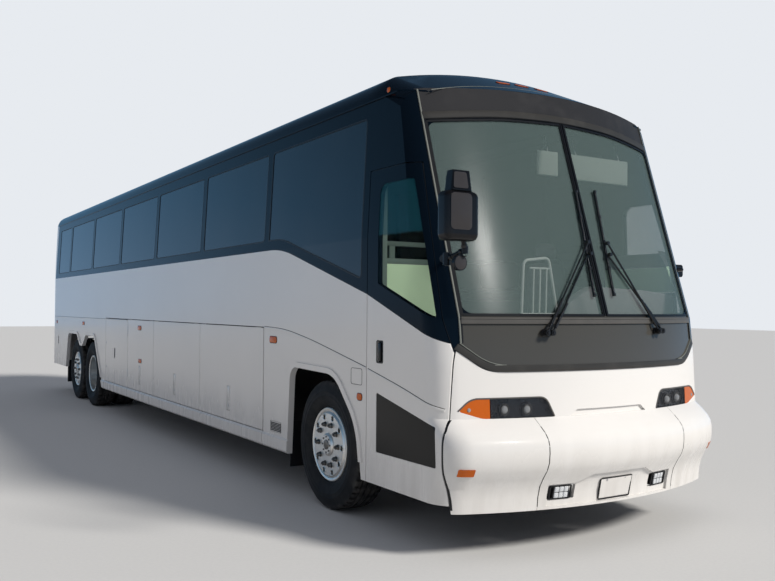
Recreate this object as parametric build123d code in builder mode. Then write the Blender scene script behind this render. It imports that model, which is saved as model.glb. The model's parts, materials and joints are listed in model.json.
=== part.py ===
"""Three-axle motor coach fitted out as a party bus.

Units are millimetres. The floor is z = 0, the bus faces -Y and its entrance door is on the -X side.
The origin is under the middle of the bus.
"""

import os
from collections import namedtuple
from math import atan2, cos, hypot, pi, radians, sin, sqrt, tan

from build123d import *

os.makedirs("parts", exist_ok=True)

# Overall size
LENGTH = 13640
WIDTH = 2590
HEIGHT = 3520
HALF_WIDTH = WIDTH / 2
FRONT_Y = -LENGTH / 2
REAR_Y = LENGTH / 2

# Walls, gaps and glass
WALL = 40
GLASS_INSET = 4
GLASS_THICKNESS = 6
FIT_GAP = 0.3
DOOR_GAP = 8
FAR = 9000

# Plan of the front: a wide bow between two tighter corners
BOW_RADIUS = 3130
CORNER_RADIUS = 226
CORNER_X = HALF_WIDTH - CORNER_RADIUS
CORNER_SETBACK = BOW_RADIUS - sqrt((BOW_RADIUS - CORNER_RADIUS) ** 2 - CORNER_X ** 2)
FRONT_DEPTH = 3400
FRONT_CUT_Y = FRONT_Y + 2800
REAR_CORNER_RADIUS = 200
REAR_TOP_RADIUS = 320

# Profile of the front: how far it lies behind the foremost point at each height
BODY_BOTTOM = 310
BUMPER_TOP = 920
GLASS_FOOT = 1580
CREASE_Z = HEIGHT - 250
RAKE = tan(radians(17.7))
Level = namedtuple("Level", "z setback")
GLASS_FOOT_SETBACK = 208
FRONT_PROFILE = [
    Level(BODY_BOTTOM, 125),
    Level(400, 116),
    Level(470, 98),
    Level(530, 64),
    Level(585, 26),
    Level(640, 5),
    Level(700, 0),
    Level(750, 2),
    Level(790, 14),
    Level(830, 44),
    Level(875, 98),
    Level(BUMPER_TOP, 156),
    Level(1285, 175),
    Level(GLASS_FOOT, GLASS_FOOT_SETBACK),
    Level(HEIGHT + 100, GLASS_FOOT_SETBACK + (HEIGHT + 100 - GLASS_FOOT) * RAKE),
]
CREASE_Y = FRONT_Y + GLASS_FOOT_SETBACK + (CREASE_Z - GLASS_FOOT) * RAKE

# Cross-section: upright sides, sides that lean in above the belt, and a crowned roof
BELT_Z = 2165
SIDE_LEAN = 0.05
CROWN_RADIUS = 4700
ROOF_CORNER_RADIUS = 250
BROW_SLOPE = 0.4375
BROW_LENGTH = (HEIGHT - CREASE_Z) / BROW_SLOPE
BROW_MARGIN = 16
GUTTER_Z = HEIGHT - 320

# Side view: the belt under the windows and the seam over the bays, both dropping towards the front
SEAM_Z = 1460
SKIRT_Z = 362
REAR_CAP_Y = REAR_Y - 220
REAR_SKIRT_Z = 525
BELT_BREAK_Y = FRONT_Y + 2880
BELT_CURVE = 1800
SEAM_BREAK_Y = FRONT_Y + 2760
SEAM_CURVE = 2500
DOOR_REAR_Y = FRONT_Y + 1350
DOOR_FRONT_Y = FRONT_Y + 390
BELT_AT_DOOR_Z = 1745
BELT_AT_FRONT_Z = 1395
SEAM_AT_DOOR_Z = 1205
DOOR_TOP_Z = HEIGHT - 860
PILLAR_FOOT_Z = 1350
PILLAR_SLOPE = 0.287
NOSE_SEAM_BACK = 24
NOSE_SEAM_RISE = 70
HALF_GAP = DOOR_GAP / 2

# Wheels and axles
TYRE_RADIUS = 525.5
TYRE_WIDTH = 312
BEAD_RADIUS = 286
FRONT_OVERHANG = 2077
REAR_OVERHANG = 2001
BOGIE_SPACING = 1240
WHEEL_Y = {"front": FRONT_Y + FRONT_OVERHANG, "drive": REAR_Y - REAR_OVERHANG - BOGIE_SPACING,
           "tag": REAR_Y - REAR_OVERHANG}
SINGLE_X = HALF_WIDTH - 200
TWIN_OUTER_X = HALF_WIDTH - 185
TWIN_SPACING = 340
KINGPIN_X = SINGLE_X - 190
SPINDLE_RADIUS = 50
SPINDLE_FIT = 0.06

# Windows of the side bands
WINDOW_COUNT = 5
WINDOW_BAR = 90
WINDOW_SILL_Z = 2250
WINDOW_HEAD_Z = HEIGHT - 440
WINDOW_CORNER = 45
FIRST_WINDOW_FRONT_Y = DOOR_REAR_Y + 85
FIRST_BAR_Y = FRONT_Y + 3220
LAST_BAR_Y = REAR_Y - 1520
LAST_WINDOW_REAR_Y = REAR_Y - 490

# Baggage bays and sills
FENDER_REAR_Y = WHEEL_Y["front"] + 1168
BAY_END_Y = WHEEL_Y["drive"] - 2344
BAY_SHARES = [0, 0.369, 0.737, 1]
BAY_SEAMS_Y = [FENDER_REAR_Y + share * (BAY_END_Y - FENDER_REAR_Y) for share in BAY_SHARES]
BAY_FRONT_GAP = 18
ROCKER_TOP_Z = 490
ROCKER_PROUD = 18
BAY_FLOOR_Z = 500
BAY_FLOOR_THICKNESS = 55
BULKHEAD = 50

# Floors
DECK_Z = 1400
DECK_THICKNESS = 60
PLATFORM_Z = 1120
PLATFORM_THICKNESS = 45
PLATFORM_REAR_Y = DOOR_REAR_Y + 320

RIGHT = -1
LEFT = 1


def save(name, part):
    """Label a finished piece and write it as a STEP file."""
    part.label = name
    export_step(part, f"parts/{name}.step")


def outline(*corners):
    """Draw a closed face in the current sketch from rows of (across, up) or (across, up, corner radius)."""
    points = [corner[:2] for corner in corners]
    radii = [corner[2] if len(corner) > 2 else 0 for corner in corners]
    with BuildLine() as edge:
        if any(radii):
            FilletPolyline(*points, radius=radii, close=True)
        else:
            Polyline(*points, close=True)
    make_face(edge.edges())


def plan_outline(setback, inset):
    """Draw the plan of the front at one level: a bow, two corners and straight sides."""
    nose_y = FRONT_Y + setback
    bow_y = nose_y + BOW_RADIUS
    corner_y = nose_y + CORNER_SETBACK
    bow = BOW_RADIUS - inset
    corner = CORNER_RADIUS - inset
    turn = atan2(CORNER_X, bow_y - corner_y)
    half = HALF_WIDTH - inset
    back_y = nose_y + FRONT_DEPTH
    join = (bow * sin(turn), bow_y - bow * cos(turn))
    middle = ((pi / 2 + turn) / 2)
    corner_mid = (CORNER_X + corner * sin(middle), corner_y - corner * cos(middle))
    with BuildLine() as edge:
        ThreePointArc((-join[0], join[1]), (0, bow_y - bow), join)
        ThreePointArc(join, corner_mid, (half, corner_y))
        Line((half, corner_y), (half, back_y))
        Line((half, back_y), (-half, back_y))
        Line((-half, back_y), (-half, corner_y))
        ThreePointArc((-half, corner_y), (-corner_mid[0], corner_mid[1]), (-join[0], join[1]))
    make_face(edge.edges())


def crown_outline(top, inset, margin, foot):
    """Draw a cross-section with leaning sides and a crowned top, rounded where they meet."""
    half = HALF_WIDTH - inset + margin
    radius = CROWN_RADIUS - inset
    centre_z = top - inset - radius
    drop = HEIGHT - top
    lean_foot = BELT_Z - drop
    edge_x = half
    edge_z = top
    for _ in range(20):
        edge_z = centre_z + sqrt(radius ** 2 - edge_x ** 2)
        edge_x = half - (edge_z - lean_foot) * SIDE_LEAN
    with BuildLine() as edge:
        Line((-half, foot), (half, foot))
        Line((half, foot), (half, lean_foot))
        Line((half, lean_foot), (edge_x, edge_z))
        ThreePointArc((edge_x, edge_z), (0, centre_z + radius), (-edge_x, edge_z))
        Line((-edge_x, edge_z), (-half, lean_foot))
        Line((-half, lean_foot), (-half, foot))
    section = make_face(edge.edges())
    corners = [section.vertices().sort_by_distance((side * edge_x, edge_z))[0] for side in (LEFT, RIGHT)]
    fillet(corners, ROOF_CORNER_RADIUS - inset)


def body_volume(inset, foot=BODY_BOTTOM):
    """The solid inside the body's surface, or inside a surface lying inset millimetres within it."""
    with BuildPart() as front:
        levels = [Level(foot, FRONT_PROFILE[0].setback)] if foot < BODY_BOTTOM else []
        levels += FRONT_PROFILE
        for low, high in zip(levels, levels[1:]):
            rise = (0, high.setback - low.setback, high.z - low.z)
            with BuildSketch(Plane.XY.offset(low.z)):
                plan_outline(low.setback, inset)
            extrude(amount=hypot(*rise), dir=Vector(*rise).normalized())
        with BuildSketch(Plane.XY.offset(foot)):
            outline((-FAR, -FAR), (FAR, -FAR), (FAR, FRONT_CUT_Y), (-FAR, FRONT_CUT_Y))
        extrude(amount=FAR, mode=Mode.INTERSECT)

    with BuildPart() as rear:
        half = HALF_WIDTH - inset
        end = REAR_Y - inset
        corner = REAR_CORNER_RADIUS - inset
        with BuildSketch(Plane.XY.offset(foot)):
            outline((-half, FRONT_CUT_Y), (half, FRONT_CUT_Y), (half, end, corner), (-half, end, corner))
        extrude(amount=HEIGHT + 100 - foot)

    with BuildPart() as limits:
        brow_plane = Plane(origin=(0, CREASE_Y, 0), x_dir=(1, 0, 0), z_dir=(0, -1, 0))
        with BuildSketch(brow_plane):
            crown_outline(CREASE_Z, inset, BROW_MARGIN, -FAR)
        extrude(amount=FAR)
        rise = (0, BROW_LENGTH, HEIGHT - CREASE_Z)
        with BuildSketch(brow_plane):
            crown_outline(CREASE_Z, inset, BROW_MARGIN, -FAR)
        extrude(amount=hypot(*rise), dir=Vector(*rise).normalized())
        with BuildSketch(Plane.YZ):
            roof_y = CREASE_Y + BROW_LENGTH
            outline((roof_y, -FAR), (REAR_Y - inset, -FAR), (REAR_Y - inset, HEIGHT + 20 - inset,
                    REAR_TOP_RADIUS - inset), (roof_y, HEIGHT + 20 - inset))
        extrude(amount=FAR, both=True)

    with BuildPart() as volume:
        add(front.part)
        add(rear.part)
        add(limits.part, mode=Mode.INTERSECT)
        with BuildSketch(Plane.XZ.offset(-FAR)):
            crown_outline(HEIGHT, inset, 0, foot)
        extrude(amount=2 * FAR, mode=Mode.INTERSECT)
    return volume.part


def keep_side(*corners):
    """Keep what lies inside an outline in the side view, given as (y, z) or (y, z, radius)."""
    with BuildSketch(Plane.YZ) as region:
        outline(*corners)
    extrude(region.sketch, amount=FAR, both=True, mode=Mode.INTERSECT)


def keep_half(side):
    """Keep the half of the current part that lies on one side of the bus."""
    with BuildSketch(Plane.XY) as region:
        outline((0, -FAR), (side * FAR, -FAR), (side * FAR, FAR), (0, FAR))
    extrude(region.sketch, amount=FAR, mode=Mode.INTERSECT)


def side_prism(*corners):
    """A block through the bus whose outline in the side view is given as (y, z) or (y, z, radius)."""
    with BuildPart() as block:
        with BuildSketch(Plane.YZ):
            outline(*corners)
        extrude(amount=FAR, both=True)
    return block.part


def front_prism(*corners, depth=1300):
    """A block at the front end whose outline in the front view is given as (x, z) or (x, z, radius)."""
    with BuildPart() as block:
        with BuildSketch(Plane.XZ.offset(-FRONT_Y - depth)):
            outline(*corners)
        extrude(amount=depth + 200)
    return block.part


def pillar_y(z):
    """Where the door meets the front pillar at a height, in the side view."""
    return DOOR_FRONT_Y + NOSE_SEAM_BACK + max(0, z - PILLAR_FOOT_Z) * PILLAR_SLOPE


def door_seam(gap, foot=0):
    """The door's front edge up to the pillar, which steps back above the bumper."""
    front = DOOR_FRONT_Y + gap
    back = front + NOSE_SEAM_BACK
    return [(front, foot), (front, BUMPER_TOP - NOSE_SEAM_RISE), (back, BUMPER_TOP), (back, PILLAR_FOOT_Z)]


def pocket(side, y, z, width, height, depth):
    """Cut a flat-bottomed recess into a side wall."""
    with Locations((side * HALF_WIDTH, y, z)):
        Box(2 * depth, width, height, mode=Mode.SUBTRACT)


def mirrored(corners):
    """Reflect front-view corners to the other side of the bus."""
    return [(-corner[0], *corner[1:]) for corner in corners]


body_solid = body_volume(0)
inner_solid = body_volume(WALL, foot=BODY_BOTTOM - 200)
glass_outer = body_volume(GLASS_INSET, foot=BODY_BOTTOM - 200)
glass_inner = body_volume(GLASS_INSET + GLASS_THICKNESS, foot=BODY_BOTTOM - 200)
cabin_solid = body_volume(WALL + FIT_GAP, foot=BODY_BOTTOM - 200)
RECESS_DEPTH = 18
recess_floor = body_volume(RECESS_DEPTH, foot=BODY_BOTTOM - 200)
INNER_X = HALF_WIDTH - WALL - FIT_GAP

with BuildPart() as shell_builder:
    add(body_solid)
    add(inner_solid, mode=Mode.SUBTRACT)
shell = shell_builder.part

with BuildPart() as glass_builder:
    add(glass_outer)
    add(glass_inner, mode=Mode.SUBTRACT)
glass_shell = glass_builder.part

# Outlines that neighbouring panels share
BELT_PATH = [(BELT_BREAK_Y, BELT_Z, BELT_CURVE), (REAR_CAP_Y, BELT_Z)]
SEAM_PATH = [(SEAM_BREAK_Y, SEAM_Z, SEAM_CURVE), (REAR_CAP_Y, SEAM_Z)]
DOOR_BACK_EDGE = DOOR_REAR_Y + HALF_GAP
DOOR_FRONT_EDGE = DOOR_FRONT_Y - HALF_GAP
nose_seam = door_seam(-HALF_GAP)

# Windows: one big pane at the front with a dropped sill, then equal ones, then a short one
belt_slope = (BELT_Z - BELT_AT_DOOR_Z) / (BELT_BREAK_Y - DOOR_REAR_Y)
window_pitch = (LAST_BAR_Y - FIRST_BAR_Y) / WINDOW_COUNT
window_edges = [FIRST_BAR_Y + window_pitch * i for i in range(WINDOW_COUNT + 1)]
window_outlines = [
    [
        (window_edges[0] - WINDOW_BAR / 2, WINDOW_SILL_Z),
        (BELT_BREAK_Y, WINDOW_SILL_Z, BELT_CURVE / 2),
        (FIRST_WINDOW_FRONT_Y, WINDOW_SILL_Z - belt_slope * (BELT_BREAK_Y - FIRST_WINDOW_FRONT_Y), WINDOW_CORNER),
        (FIRST_WINDOW_FRONT_Y, WINDOW_HEAD_Z, WINDOW_CORNER),
        (window_edges[0] - WINDOW_BAR / 2, WINDOW_HEAD_Z, WINDOW_CORNER),
    ]
]
window_spans = list(zip(window_edges, window_edges[1:]))
window_spans.append((window_edges[-1], LAST_WINDOW_REAR_Y + WINDOW_BAR / 2))
for span_front, span_rear in window_spans:
    near = span_front + WINDOW_BAR / 2
    far = span_rear - WINDOW_BAR / 2
    window_outlines.append([
        (near, WINDOW_SILL_Z, WINDOW_CORNER),
        (far, WINDOW_SILL_Z, WINDOW_CORNER),
        (far, WINDOW_HEAD_Z, WINDOW_CORNER),
        (near, WINDOW_HEAD_Z, WINDOW_CORNER),
    ])

# Glass of the entrance door, also used for the driver's window on the other side
DOOR_GLASS_TOP_Z = DOOR_TOP_Z - 115
DOOR_GLASS_REAR_Y = DOOR_REAR_Y - 152
DOOR_GLASS = [
    (DOOR_GLASS_REAR_Y, 1820, 20), (DOOR_FRONT_Y + 118, 1573, 15), (pillar_y(DOOR_GLASS_TOP_Z) + 44, DOOR_GLASS_TOP_Z, 25),
    (DOOR_GLASS_REAR_Y, DOOR_GLASS_TOP_Z, 80),
]
DOOR_LOW_GLASS = [
    (DOOR_REAR_Y - 140, 597, 15), (DOOR_FRONT_Y + 60, 600, 15), (DOOR_FRONT_Y + 75, 866, 15),
    (DOOR_REAR_Y - 140, 1030, 15),
]

# Wheel arches in the side view
front_y = WHEEL_Y["front"]
drive_y = WHEEL_Y["drive"]
tag_y = WHEEL_Y["tag"]
FRONT_ARCH = [
    (front_y + 648, 0), (front_y + 568, 1130, 120), (front_y - 237, 1112, 330), (front_y - 587, 760, 500),
    (front_y - 717, 0),
]
REAR_ARCH = [
    (drive_y - 1184, 0), (drive_y - 335, 1148, 180), (drive_y + 271, 1148, 60), (drive_y + 531, 960, 30),
    (tag_y - 529, 960, 30), (tag_y - 269, 1148, 60), (tag_y + 441, 1148, 150), (tag_y + 771, 0),
]
ARCH_LIP = 45
ARCH_PROUD = 14

# Front-view outlines: glass, dark panel, visor and lamps
GLASS_EDGE_X = HALF_WIDTH - 187
BAR_HALF = 20
COWL_HALF = HALF_WIDTH - 155
COWL_BOTTOM_Z = 1225
COWL_CORNER_Z = 1345
COWL_TOP_Z = 1612
GLASS_CORNER = 70
WINDSHIELD = [
    (BAR_HALF, COWL_TOP_Z), (GLASS_EDGE_X, COWL_TOP_Z, GLASS_CORNER), (GLASS_EDGE_X, HEIGHT - 560, GLASS_CORNER),
    (560, HEIGHT - 508, 2500), (BAR_HALF, HEIGHT - 490),
]
COWL = [
    (-COWL_HALF, COWL_TOP_Z), (-COWL_HALF, COWL_CORNER_Z), (160 - COWL_HALF, COWL_BOTTOM_Z, 220),
    (COWL_HALF - 160, COWL_BOTTOM_Z, 220), (COWL_HALF, COWL_CORNER_Z), (COWL_HALF, COWL_TOP_Z),
]
PILLAR = [
    (COWL_HALF, GUTTER_Z), (COWL_HALF, COWL_CORNER_Z), (HALF_WIDTH - 80, BELT_AT_FRONT_Z),
    (HALF_WIDTH + 100, BELT_AT_FRONT_Z), (HALF_WIDTH + 100, GUTTER_Z),
]
VISOR_SIDE = (HEIGHT - 535, HEIGHT - 298)
VISOR_MID = (HEIGHT - 478, HEIGHT - 262)
VISOR = [
    (-COWL_HALF, VISOR_SIDE[0]), (-560, VISOR_MID[0], 2500), (0, VISOR_MID[0] + 14), (560, VISOR_MID[0], 2500),
    (COWL_HALF, VISOR_SIDE[0]), (COWL_HALF, VISOR_SIDE[1]), (560, VISOR_MID[1], 3000), (0, CREASE_Z),
    (-560, VISOR_MID[1], 3000), (-COWL_HALF, VISOR_SIDE[1]),
]
HEADLAMP = [
    (500, BUMPER_TOP), (HALF_WIDTH - 285, BUMPER_TOP, 150), (HALF_WIDTH - 128, 970, 12), (HALF_WIDTH - 205, 1048, 75),
    (562, 1052, 75),
]
FOG_LAMP = [(360, 368, 12), (575, 368, 12), (575, 466, 12), (360, 466, 12)]
NOSE_RECESS = [(-420, BUMPER_TOP - 40), (420, BUMPER_TOP - 40), (310, BUMPER_TOP + 43), (-310, BUMPER_TOP + 43)]
PLATE_RECESS = [(-590, 326), (590, 326), (590, 478), (373, 478), (250, 532), (-250, 532), (-373, 478), (-590, 478)]
BUMPER_SEAM_X = 655
BUMPER_SEAM_GAP = 4

# Body panels
with BuildPart() as wall_strips:
    add(shell)
    keep_side((DOOR_BACK_EDGE, SEAM_AT_DOOR_Z), *SEAM_PATH, *reversed(BELT_PATH), (DOOR_BACK_EDGE, BELT_AT_DOOR_Z))
belt_front = (pillar_y(BELT_AT_FRONT_Z) - HALF_GAP, BELT_AT_FRONT_Z)
with BuildPart() as driver_panel:
    add(shell)
    keep_side((DOOR_BACK_EDGE, SKIRT_Z), *door_seam(-HALF_GAP, SKIRT_Z), belt_front, (DOOR_BACK_EDGE, BELT_AT_DOOR_Z))
    keep_half(LEFT)
with BuildPart() as side_walls:
    add(wall_strips.part)
    add(driver_panel.part)
save("side_walls", side_walls.part)

band_top_y = pillar_y(GUTTER_Z) - HALF_GAP
over_door_corner = (pillar_y(DOOR_TOP_Z + HALF_GAP) - HALF_GAP, DOOR_TOP_Z + HALF_GAP)
with BuildPart() as rear_bands:
    add(shell)
    keep_side((DOOR_BACK_EDGE, BELT_AT_DOOR_Z), *BELT_PATH, (REAR_CAP_Y, GUTTER_Z), (DOOR_BACK_EDGE, GUTTER_Z))
with BuildPart() as over_door_bands:
    add(shell)
    keep_side((DOOR_BACK_EDGE, DOOR_TOP_Z + HALF_GAP), (DOOR_BACK_EDGE, GUTTER_Z), (band_top_y, GUTTER_Z),
              over_door_corner)
with BuildPart() as driver_window_frame:
    add(shell)
    keep_side((DOOR_BACK_EDGE, BELT_AT_DOOR_Z), belt_front, over_door_corner,
              (DOOR_BACK_EDGE, DOOR_TOP_Z + HALF_GAP))
    add(side_prism(*DOOR_GLASS), mode=Mode.SUBTRACT)
    keep_half(LEFT)
with BuildPart() as window_bands:
    add(rear_bands.part)
    add(over_door_bands.part)
    add(driver_window_frame.part)
    for window in window_outlines:
        add(side_prism(*window), mode=Mode.SUBTRACT)
save("window_bands", window_bands.part)

with BuildPart() as driver_glass:
    add(glass_shell)
    add(side_prism(*DOOR_GLASS), mode=Mode.INTERSECT)
    keep_half(LEFT)
with BuildPart() as side_glass:
    for window in window_outlines:
        with BuildPart(mode=Mode.PRIVATE) as pane:
            add(glass_shell)
            add(side_prism(*window), mode=Mode.INTERSECT)
        add(pane.part)
    add(driver_glass.part)
save("side_glass", side_glass.part)

visor_block = front_prism(*VISOR)
cowl_block = front_prism(*COWL)
with BuildPart() as glass_blocks_builder:
    add(front_prism(*WINDSHIELD))
    add(front_prism(*mirrored(WINDSHIELD)))
windshield_block = glass_blocks_builder.part
with BuildPart() as pillar_blocks_builder:
    add(front_prism(*PILLAR))
    add(front_prism(*mirrored(PILLAR)))
    add(front_prism((-COWL_HALF, COWL_TOP_Z), (COWL_HALF, COWL_TOP_Z), (COWL_HALF, GUTTER_Z), (-COWL_HALF, GUTTER_Z)))
pillar_block = pillar_blocks_builder.part

with BuildPart() as front_shell:
    add(shell)
    keep_side((-FAR, 0), *nose_seam, (band_top_y, GUTTER_Z), (FAR, GUTTER_Z), (FAR, FAR), (-FAR, FAR))

with BuildPart() as visor:
    add(front_shell.part)
    add(visor_block, mode=Mode.INTERSECT)
save("visor", visor.part)

with BuildPart() as roof:
    add(shell)
    keep_side((-FAR, GUTTER_Z), (FAR, GUTTER_Z), (FAR, FAR), (-FAR, FAR))
    add(visor.part, mode=Mode.SUBTRACT)
save("roof", roof.part)

with BuildPart() as cowl:
    add(front_shell.part)
    add(cowl_block, mode=Mode.INTERSECT)
save("cowl", cowl.part)

with BuildPart() as windshield_frame:
    add(front_shell.part)
    add(pillar_block, mode=Mode.INTERSECT)
    keep_side((-FAR, 0), (FAR, 0), (FAR, GUTTER_Z), (-FAR, GUTTER_Z))
    add(windshield_block, mode=Mode.SUBTRACT)
    add(visor_block, mode=Mode.SUBTRACT)
save("windshield_frame", windshield_frame.part)

with BuildPart() as windshield:
    add(glass_shell)
    add(windshield_block, mode=Mode.INTERSECT)
save("windshield", windshield.part)

with BuildPart() as lamp_blocks_builder:
    for lamp in (HEADLAMP, FOG_LAMP):
        add(front_prism(*lamp))
        add(front_prism(*mirrored(lamp)))
lamp_block = lamp_blocks_builder.part

recess_blocks = []
for recess in (NOSE_RECESS, PLATE_RECESS):
    with BuildPart() as recess_builder:
        add(front_prism(*recess))
        add(recess_floor, mode=Mode.SUBTRACT)
    recess_blocks.append(recess_builder.part)

with BuildPart() as nose:
    add(shell)
    keep_side((-FAR, BUMPER_TOP), *nose_seam[2:], (nose_seam[3][0], GLASS_FOOT), (-FAR, GLASS_FOOT))
    for block in (cowl_block, pillar_block, lamp_block, recess_blocks[0]):
        add(block, mode=Mode.SUBTRACT)
save("nose", nose.part)

with BuildPart() as bumpers:
    add(shell)
    keep_side((-FAR, 0), *nose_seam[:3], (-FAR, BUMPER_TOP))
    for side in (LEFT, RIGHT):
        seam = side * BUMPER_SEAM_X
        half = BUMPER_SEAM_GAP / 2
        add(front_prism((seam - half, 0), (seam + half, 0), (seam + half, FAR), (seam - half, FAR)),
            mode=Mode.SUBTRACT)
    for block in (lamp_block, recess_blocks[1]):
        add(block, mode=Mode.SUBTRACT)
save("front_bumper", bumpers.part)

with BuildPart() as front_lamps:
    add(front_shell.part)
    add(lamp_block, mode=Mode.INTERSECT)
save("front_lamps", front_lamps.part)

# Recesses in the sides, as (width, height, depth), and the service doors ahead of the drive wheels
LATCH_POCKET = (90, 250, 12)
LATCH_Z = 712
HANDLE_POCKET = (60, 150, 14)
DOOR_HANDLE_POCKET = (84, 156, 22)
SERVICE_REAR_Y = BAY_END_Y + 1265

front_arch_block = side_prism(*FRONT_ARCH)
rear_arch_block = side_prism(*REAR_ARCH)


def arch_lip(arch, foot):
    """Add a flat raised rim round a wheel arch on both sides of the bus."""
    for side in (LEFT, RIGHT):
        with BuildSketch(Plane.YZ.offset(side * HALF_WIDTH)) as rim:
            outline(*arch)
            offset(amount=ARCH_LIP, kind=Kind.ARC)
            with BuildSketch(mode=Mode.PRIVATE) as hole:
                outline(*arch)
            add(hole.sketch, mode=Mode.SUBTRACT)
            with BuildSketch(mode=Mode.PRIVATE) as above:
                outline((-FAR, foot), (FAR, foot), (FAR, FAR), (-FAR, FAR))
            add(above.sketch, mode=Mode.INTERSECT)
        extrude(rim.sketch, amount=side * ARCH_PROUD)


middle_y = (drive_y + tag_y) / 2
with BuildPart() as wheel_skirts:
    with BuildPart(mode=Mode.PRIVATE) as front_skirts:
        add(shell)
        keep_side((DOOR_BACK_EDGE, SKIRT_Z), (front_y, SKIRT_Z), (front_y, ROCKER_TOP_Z),
                  (FENDER_REAR_Y, ROCKER_TOP_Z), (FENDER_REAR_Y, SEAM_Z), SEAM_PATH[0],
                  (DOOR_BACK_EDGE, SEAM_AT_DOOR_Z))
        add(front_arch_block, mode=Mode.SUBTRACT)
    with BuildPart(mode=Mode.PRIVATE) as rear_skirts:
        add(shell)
        keep_side((SERVICE_REAR_Y + DOOR_GAP, ROCKER_TOP_Z), (middle_y, ROCKER_TOP_Z), (middle_y, REAR_SKIRT_Z),
                  (REAR_CAP_Y, REAR_SKIRT_Z), (REAR_CAP_Y, SEAM_Z), (SERVICE_REAR_Y + DOOR_GAP, SEAM_Z))
        add(rear_arch_block, mode=Mode.SUBTRACT)
        for side in (LEFT, RIGHT):
            pocket(side, REAR_Y - 590, 990, *HANDLE_POCKET)
    add(front_skirts.part)
    add(rear_skirts.part)
    arch_lip(FRONT_ARCH, ROCKER_TOP_Z)
    arch_lip(REAR_ARCH, REAR_SKIRT_Z)
save("wheel_skirts", wheel_skirts.part)

with BuildPart() as rockers:
    for side in (LEFT, RIGHT):
        for near, far in ((front_y, FENDER_REAR_Y - HALF_GAP), (FENDER_REAR_Y + HALF_GAP, drive_y)):
            with BuildSketch(Plane.XZ.offset(-near)):
                outline((side * INNER_X, SKIRT_Z), (side * HALF_WIDTH, SKIRT_Z),
                        (side * (HALF_WIDTH + ROCKER_PROUD), SKIRT_Z + ROCKER_PROUD),
                        (side * (HALF_WIDTH + ROCKER_PROUD), ROCKER_TOP_Z - ROCKER_PROUD),
                        (side * HALF_WIDTH, ROCKER_TOP_Z), (side * INNER_X, ROCKER_TOP_Z))
            extrude(amount=near - far)
    add(front_arch_block, mode=Mode.SUBTRACT)
    add(rear_arch_block, mode=Mode.SUBTRACT)
save("rockers", rockers.part)

FLAP = 8
FLAP_LOW_Z = 240
FLAP_HIGH_Z = 640
with BuildPart() as mudflaps:
    for flap_y in (front_y + 658, tag_y + 700):
        for side in (LEFT, RIGHT):
            with Locations((side * (INNER_X - TYRE_WIDTH / 2), flap_y + FLAP / 2, (FLAP_LOW_Z + FLAP_HIGH_Z) / 2)):
                Box(TYRE_WIDTH, FLAP, FLAP_HIGH_Z - FLAP_LOW_Z)
save("mudflaps", mudflaps.part)

# Rear end
ENGINE_DOOR_HALF = 950
ENGINE_DOOR_FOOT_Z = 800
ENGINE_DOOR_TOP_Z = 1950
ENGINE_DOOR_THICKNESS = 25
ENGINE_TOP_GAP = 14
ENGINE_BARREL_RADIUS = 6
BARREL_LENGTH = 120
LOUVRES = 9
LOUVRE_X = 520
LOUVRE_LENGTH = 620
LOUVRE_HEIGHT = 26
LOUVRE_PITCH = 52
LOUVRE_FOOT_Z = 960
REBATE = 20
TAIL_LAMP_X = 1090
TAIL_LAMP_Z = (1050, 1190, 1330)
TAIL_LAMP_RADIUS = 50


def rear_panel(half, low, high, near, far, mode):
    """Add or cut a block in the rear wall between two depths."""
    with Locations((0, (near + far) / 2, (low + high) / 2)):
        Box(2 * half, far - near, high - low, mode=mode)


with BuildPart() as tail_lamps:
    for side in (LEFT, RIGHT):
        for lamp_z in TAIL_LAMP_Z:
            with BuildSketch(Plane.XZ.offset(-REAR_Y)):
                with Locations((side * TAIL_LAMP_X, lamp_z)):
                    Circle(TAIL_LAMP_RADIUS)
            extrude(amount=WALL)

with BuildPart() as rear_cap:
    add(shell)
    keep_side((REAR_CAP_Y, REAR_SKIRT_Z), (FAR, REAR_SKIRT_Z), (FAR, GUTTER_Z), (REAR_CAP_Y, GUTTER_Z))
    rear_panel(ENGINE_DOOR_HALF + DOOR_GAP, ENGINE_DOOR_FOOT_Z - DOOR_GAP, ENGINE_DOOR_TOP_Z + ENGINE_TOP_GAP,
               REAR_Y - ENGINE_DOOR_THICKNESS - FIT_GAP, REAR_Y + WALL, Mode.SUBTRACT)
    rear_panel(ENGINE_DOOR_HALF - REBATE, ENGINE_DOOR_FOOT_Z + REBATE, ENGINE_DOOR_TOP_Z - REBATE,
               REAR_Y - 2 * WALL, REAR_Y, Mode.SUBTRACT)
    add(tail_lamps.part, mode=Mode.SUBTRACT)
save("rear_cap", rear_cap.part)

with BuildPart() as engine_door:
    rear_panel(ENGINE_DOOR_HALF, ENGINE_DOOR_FOOT_Z, ENGINE_DOOR_TOP_Z, REAR_Y - ENGINE_DOOR_THICKNESS, REAR_Y,
               Mode.ADD)
    for side in (LEFT, RIGHT):
        with Locations(Location((side * ENGINE_DOOR_HALF / 2, REAR_Y, ENGINE_DOOR_TOP_Z), (0, 90, 0))):
            Cylinder(ENGINE_BARREL_RADIUS, BARREL_LENGTH)
        for slot in range(LOUVRES):
            with Locations((side * LOUVRE_X, REAR_Y, LOUVRE_FOOT_Z + slot * LOUVRE_PITCH)):
                Box(LOUVRE_LENGTH, 3 * ENGINE_DOOR_THICKNESS, LOUVRE_HEIGHT, mode=Mode.SUBTRACT)
save("engine_door", engine_door.part)

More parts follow.
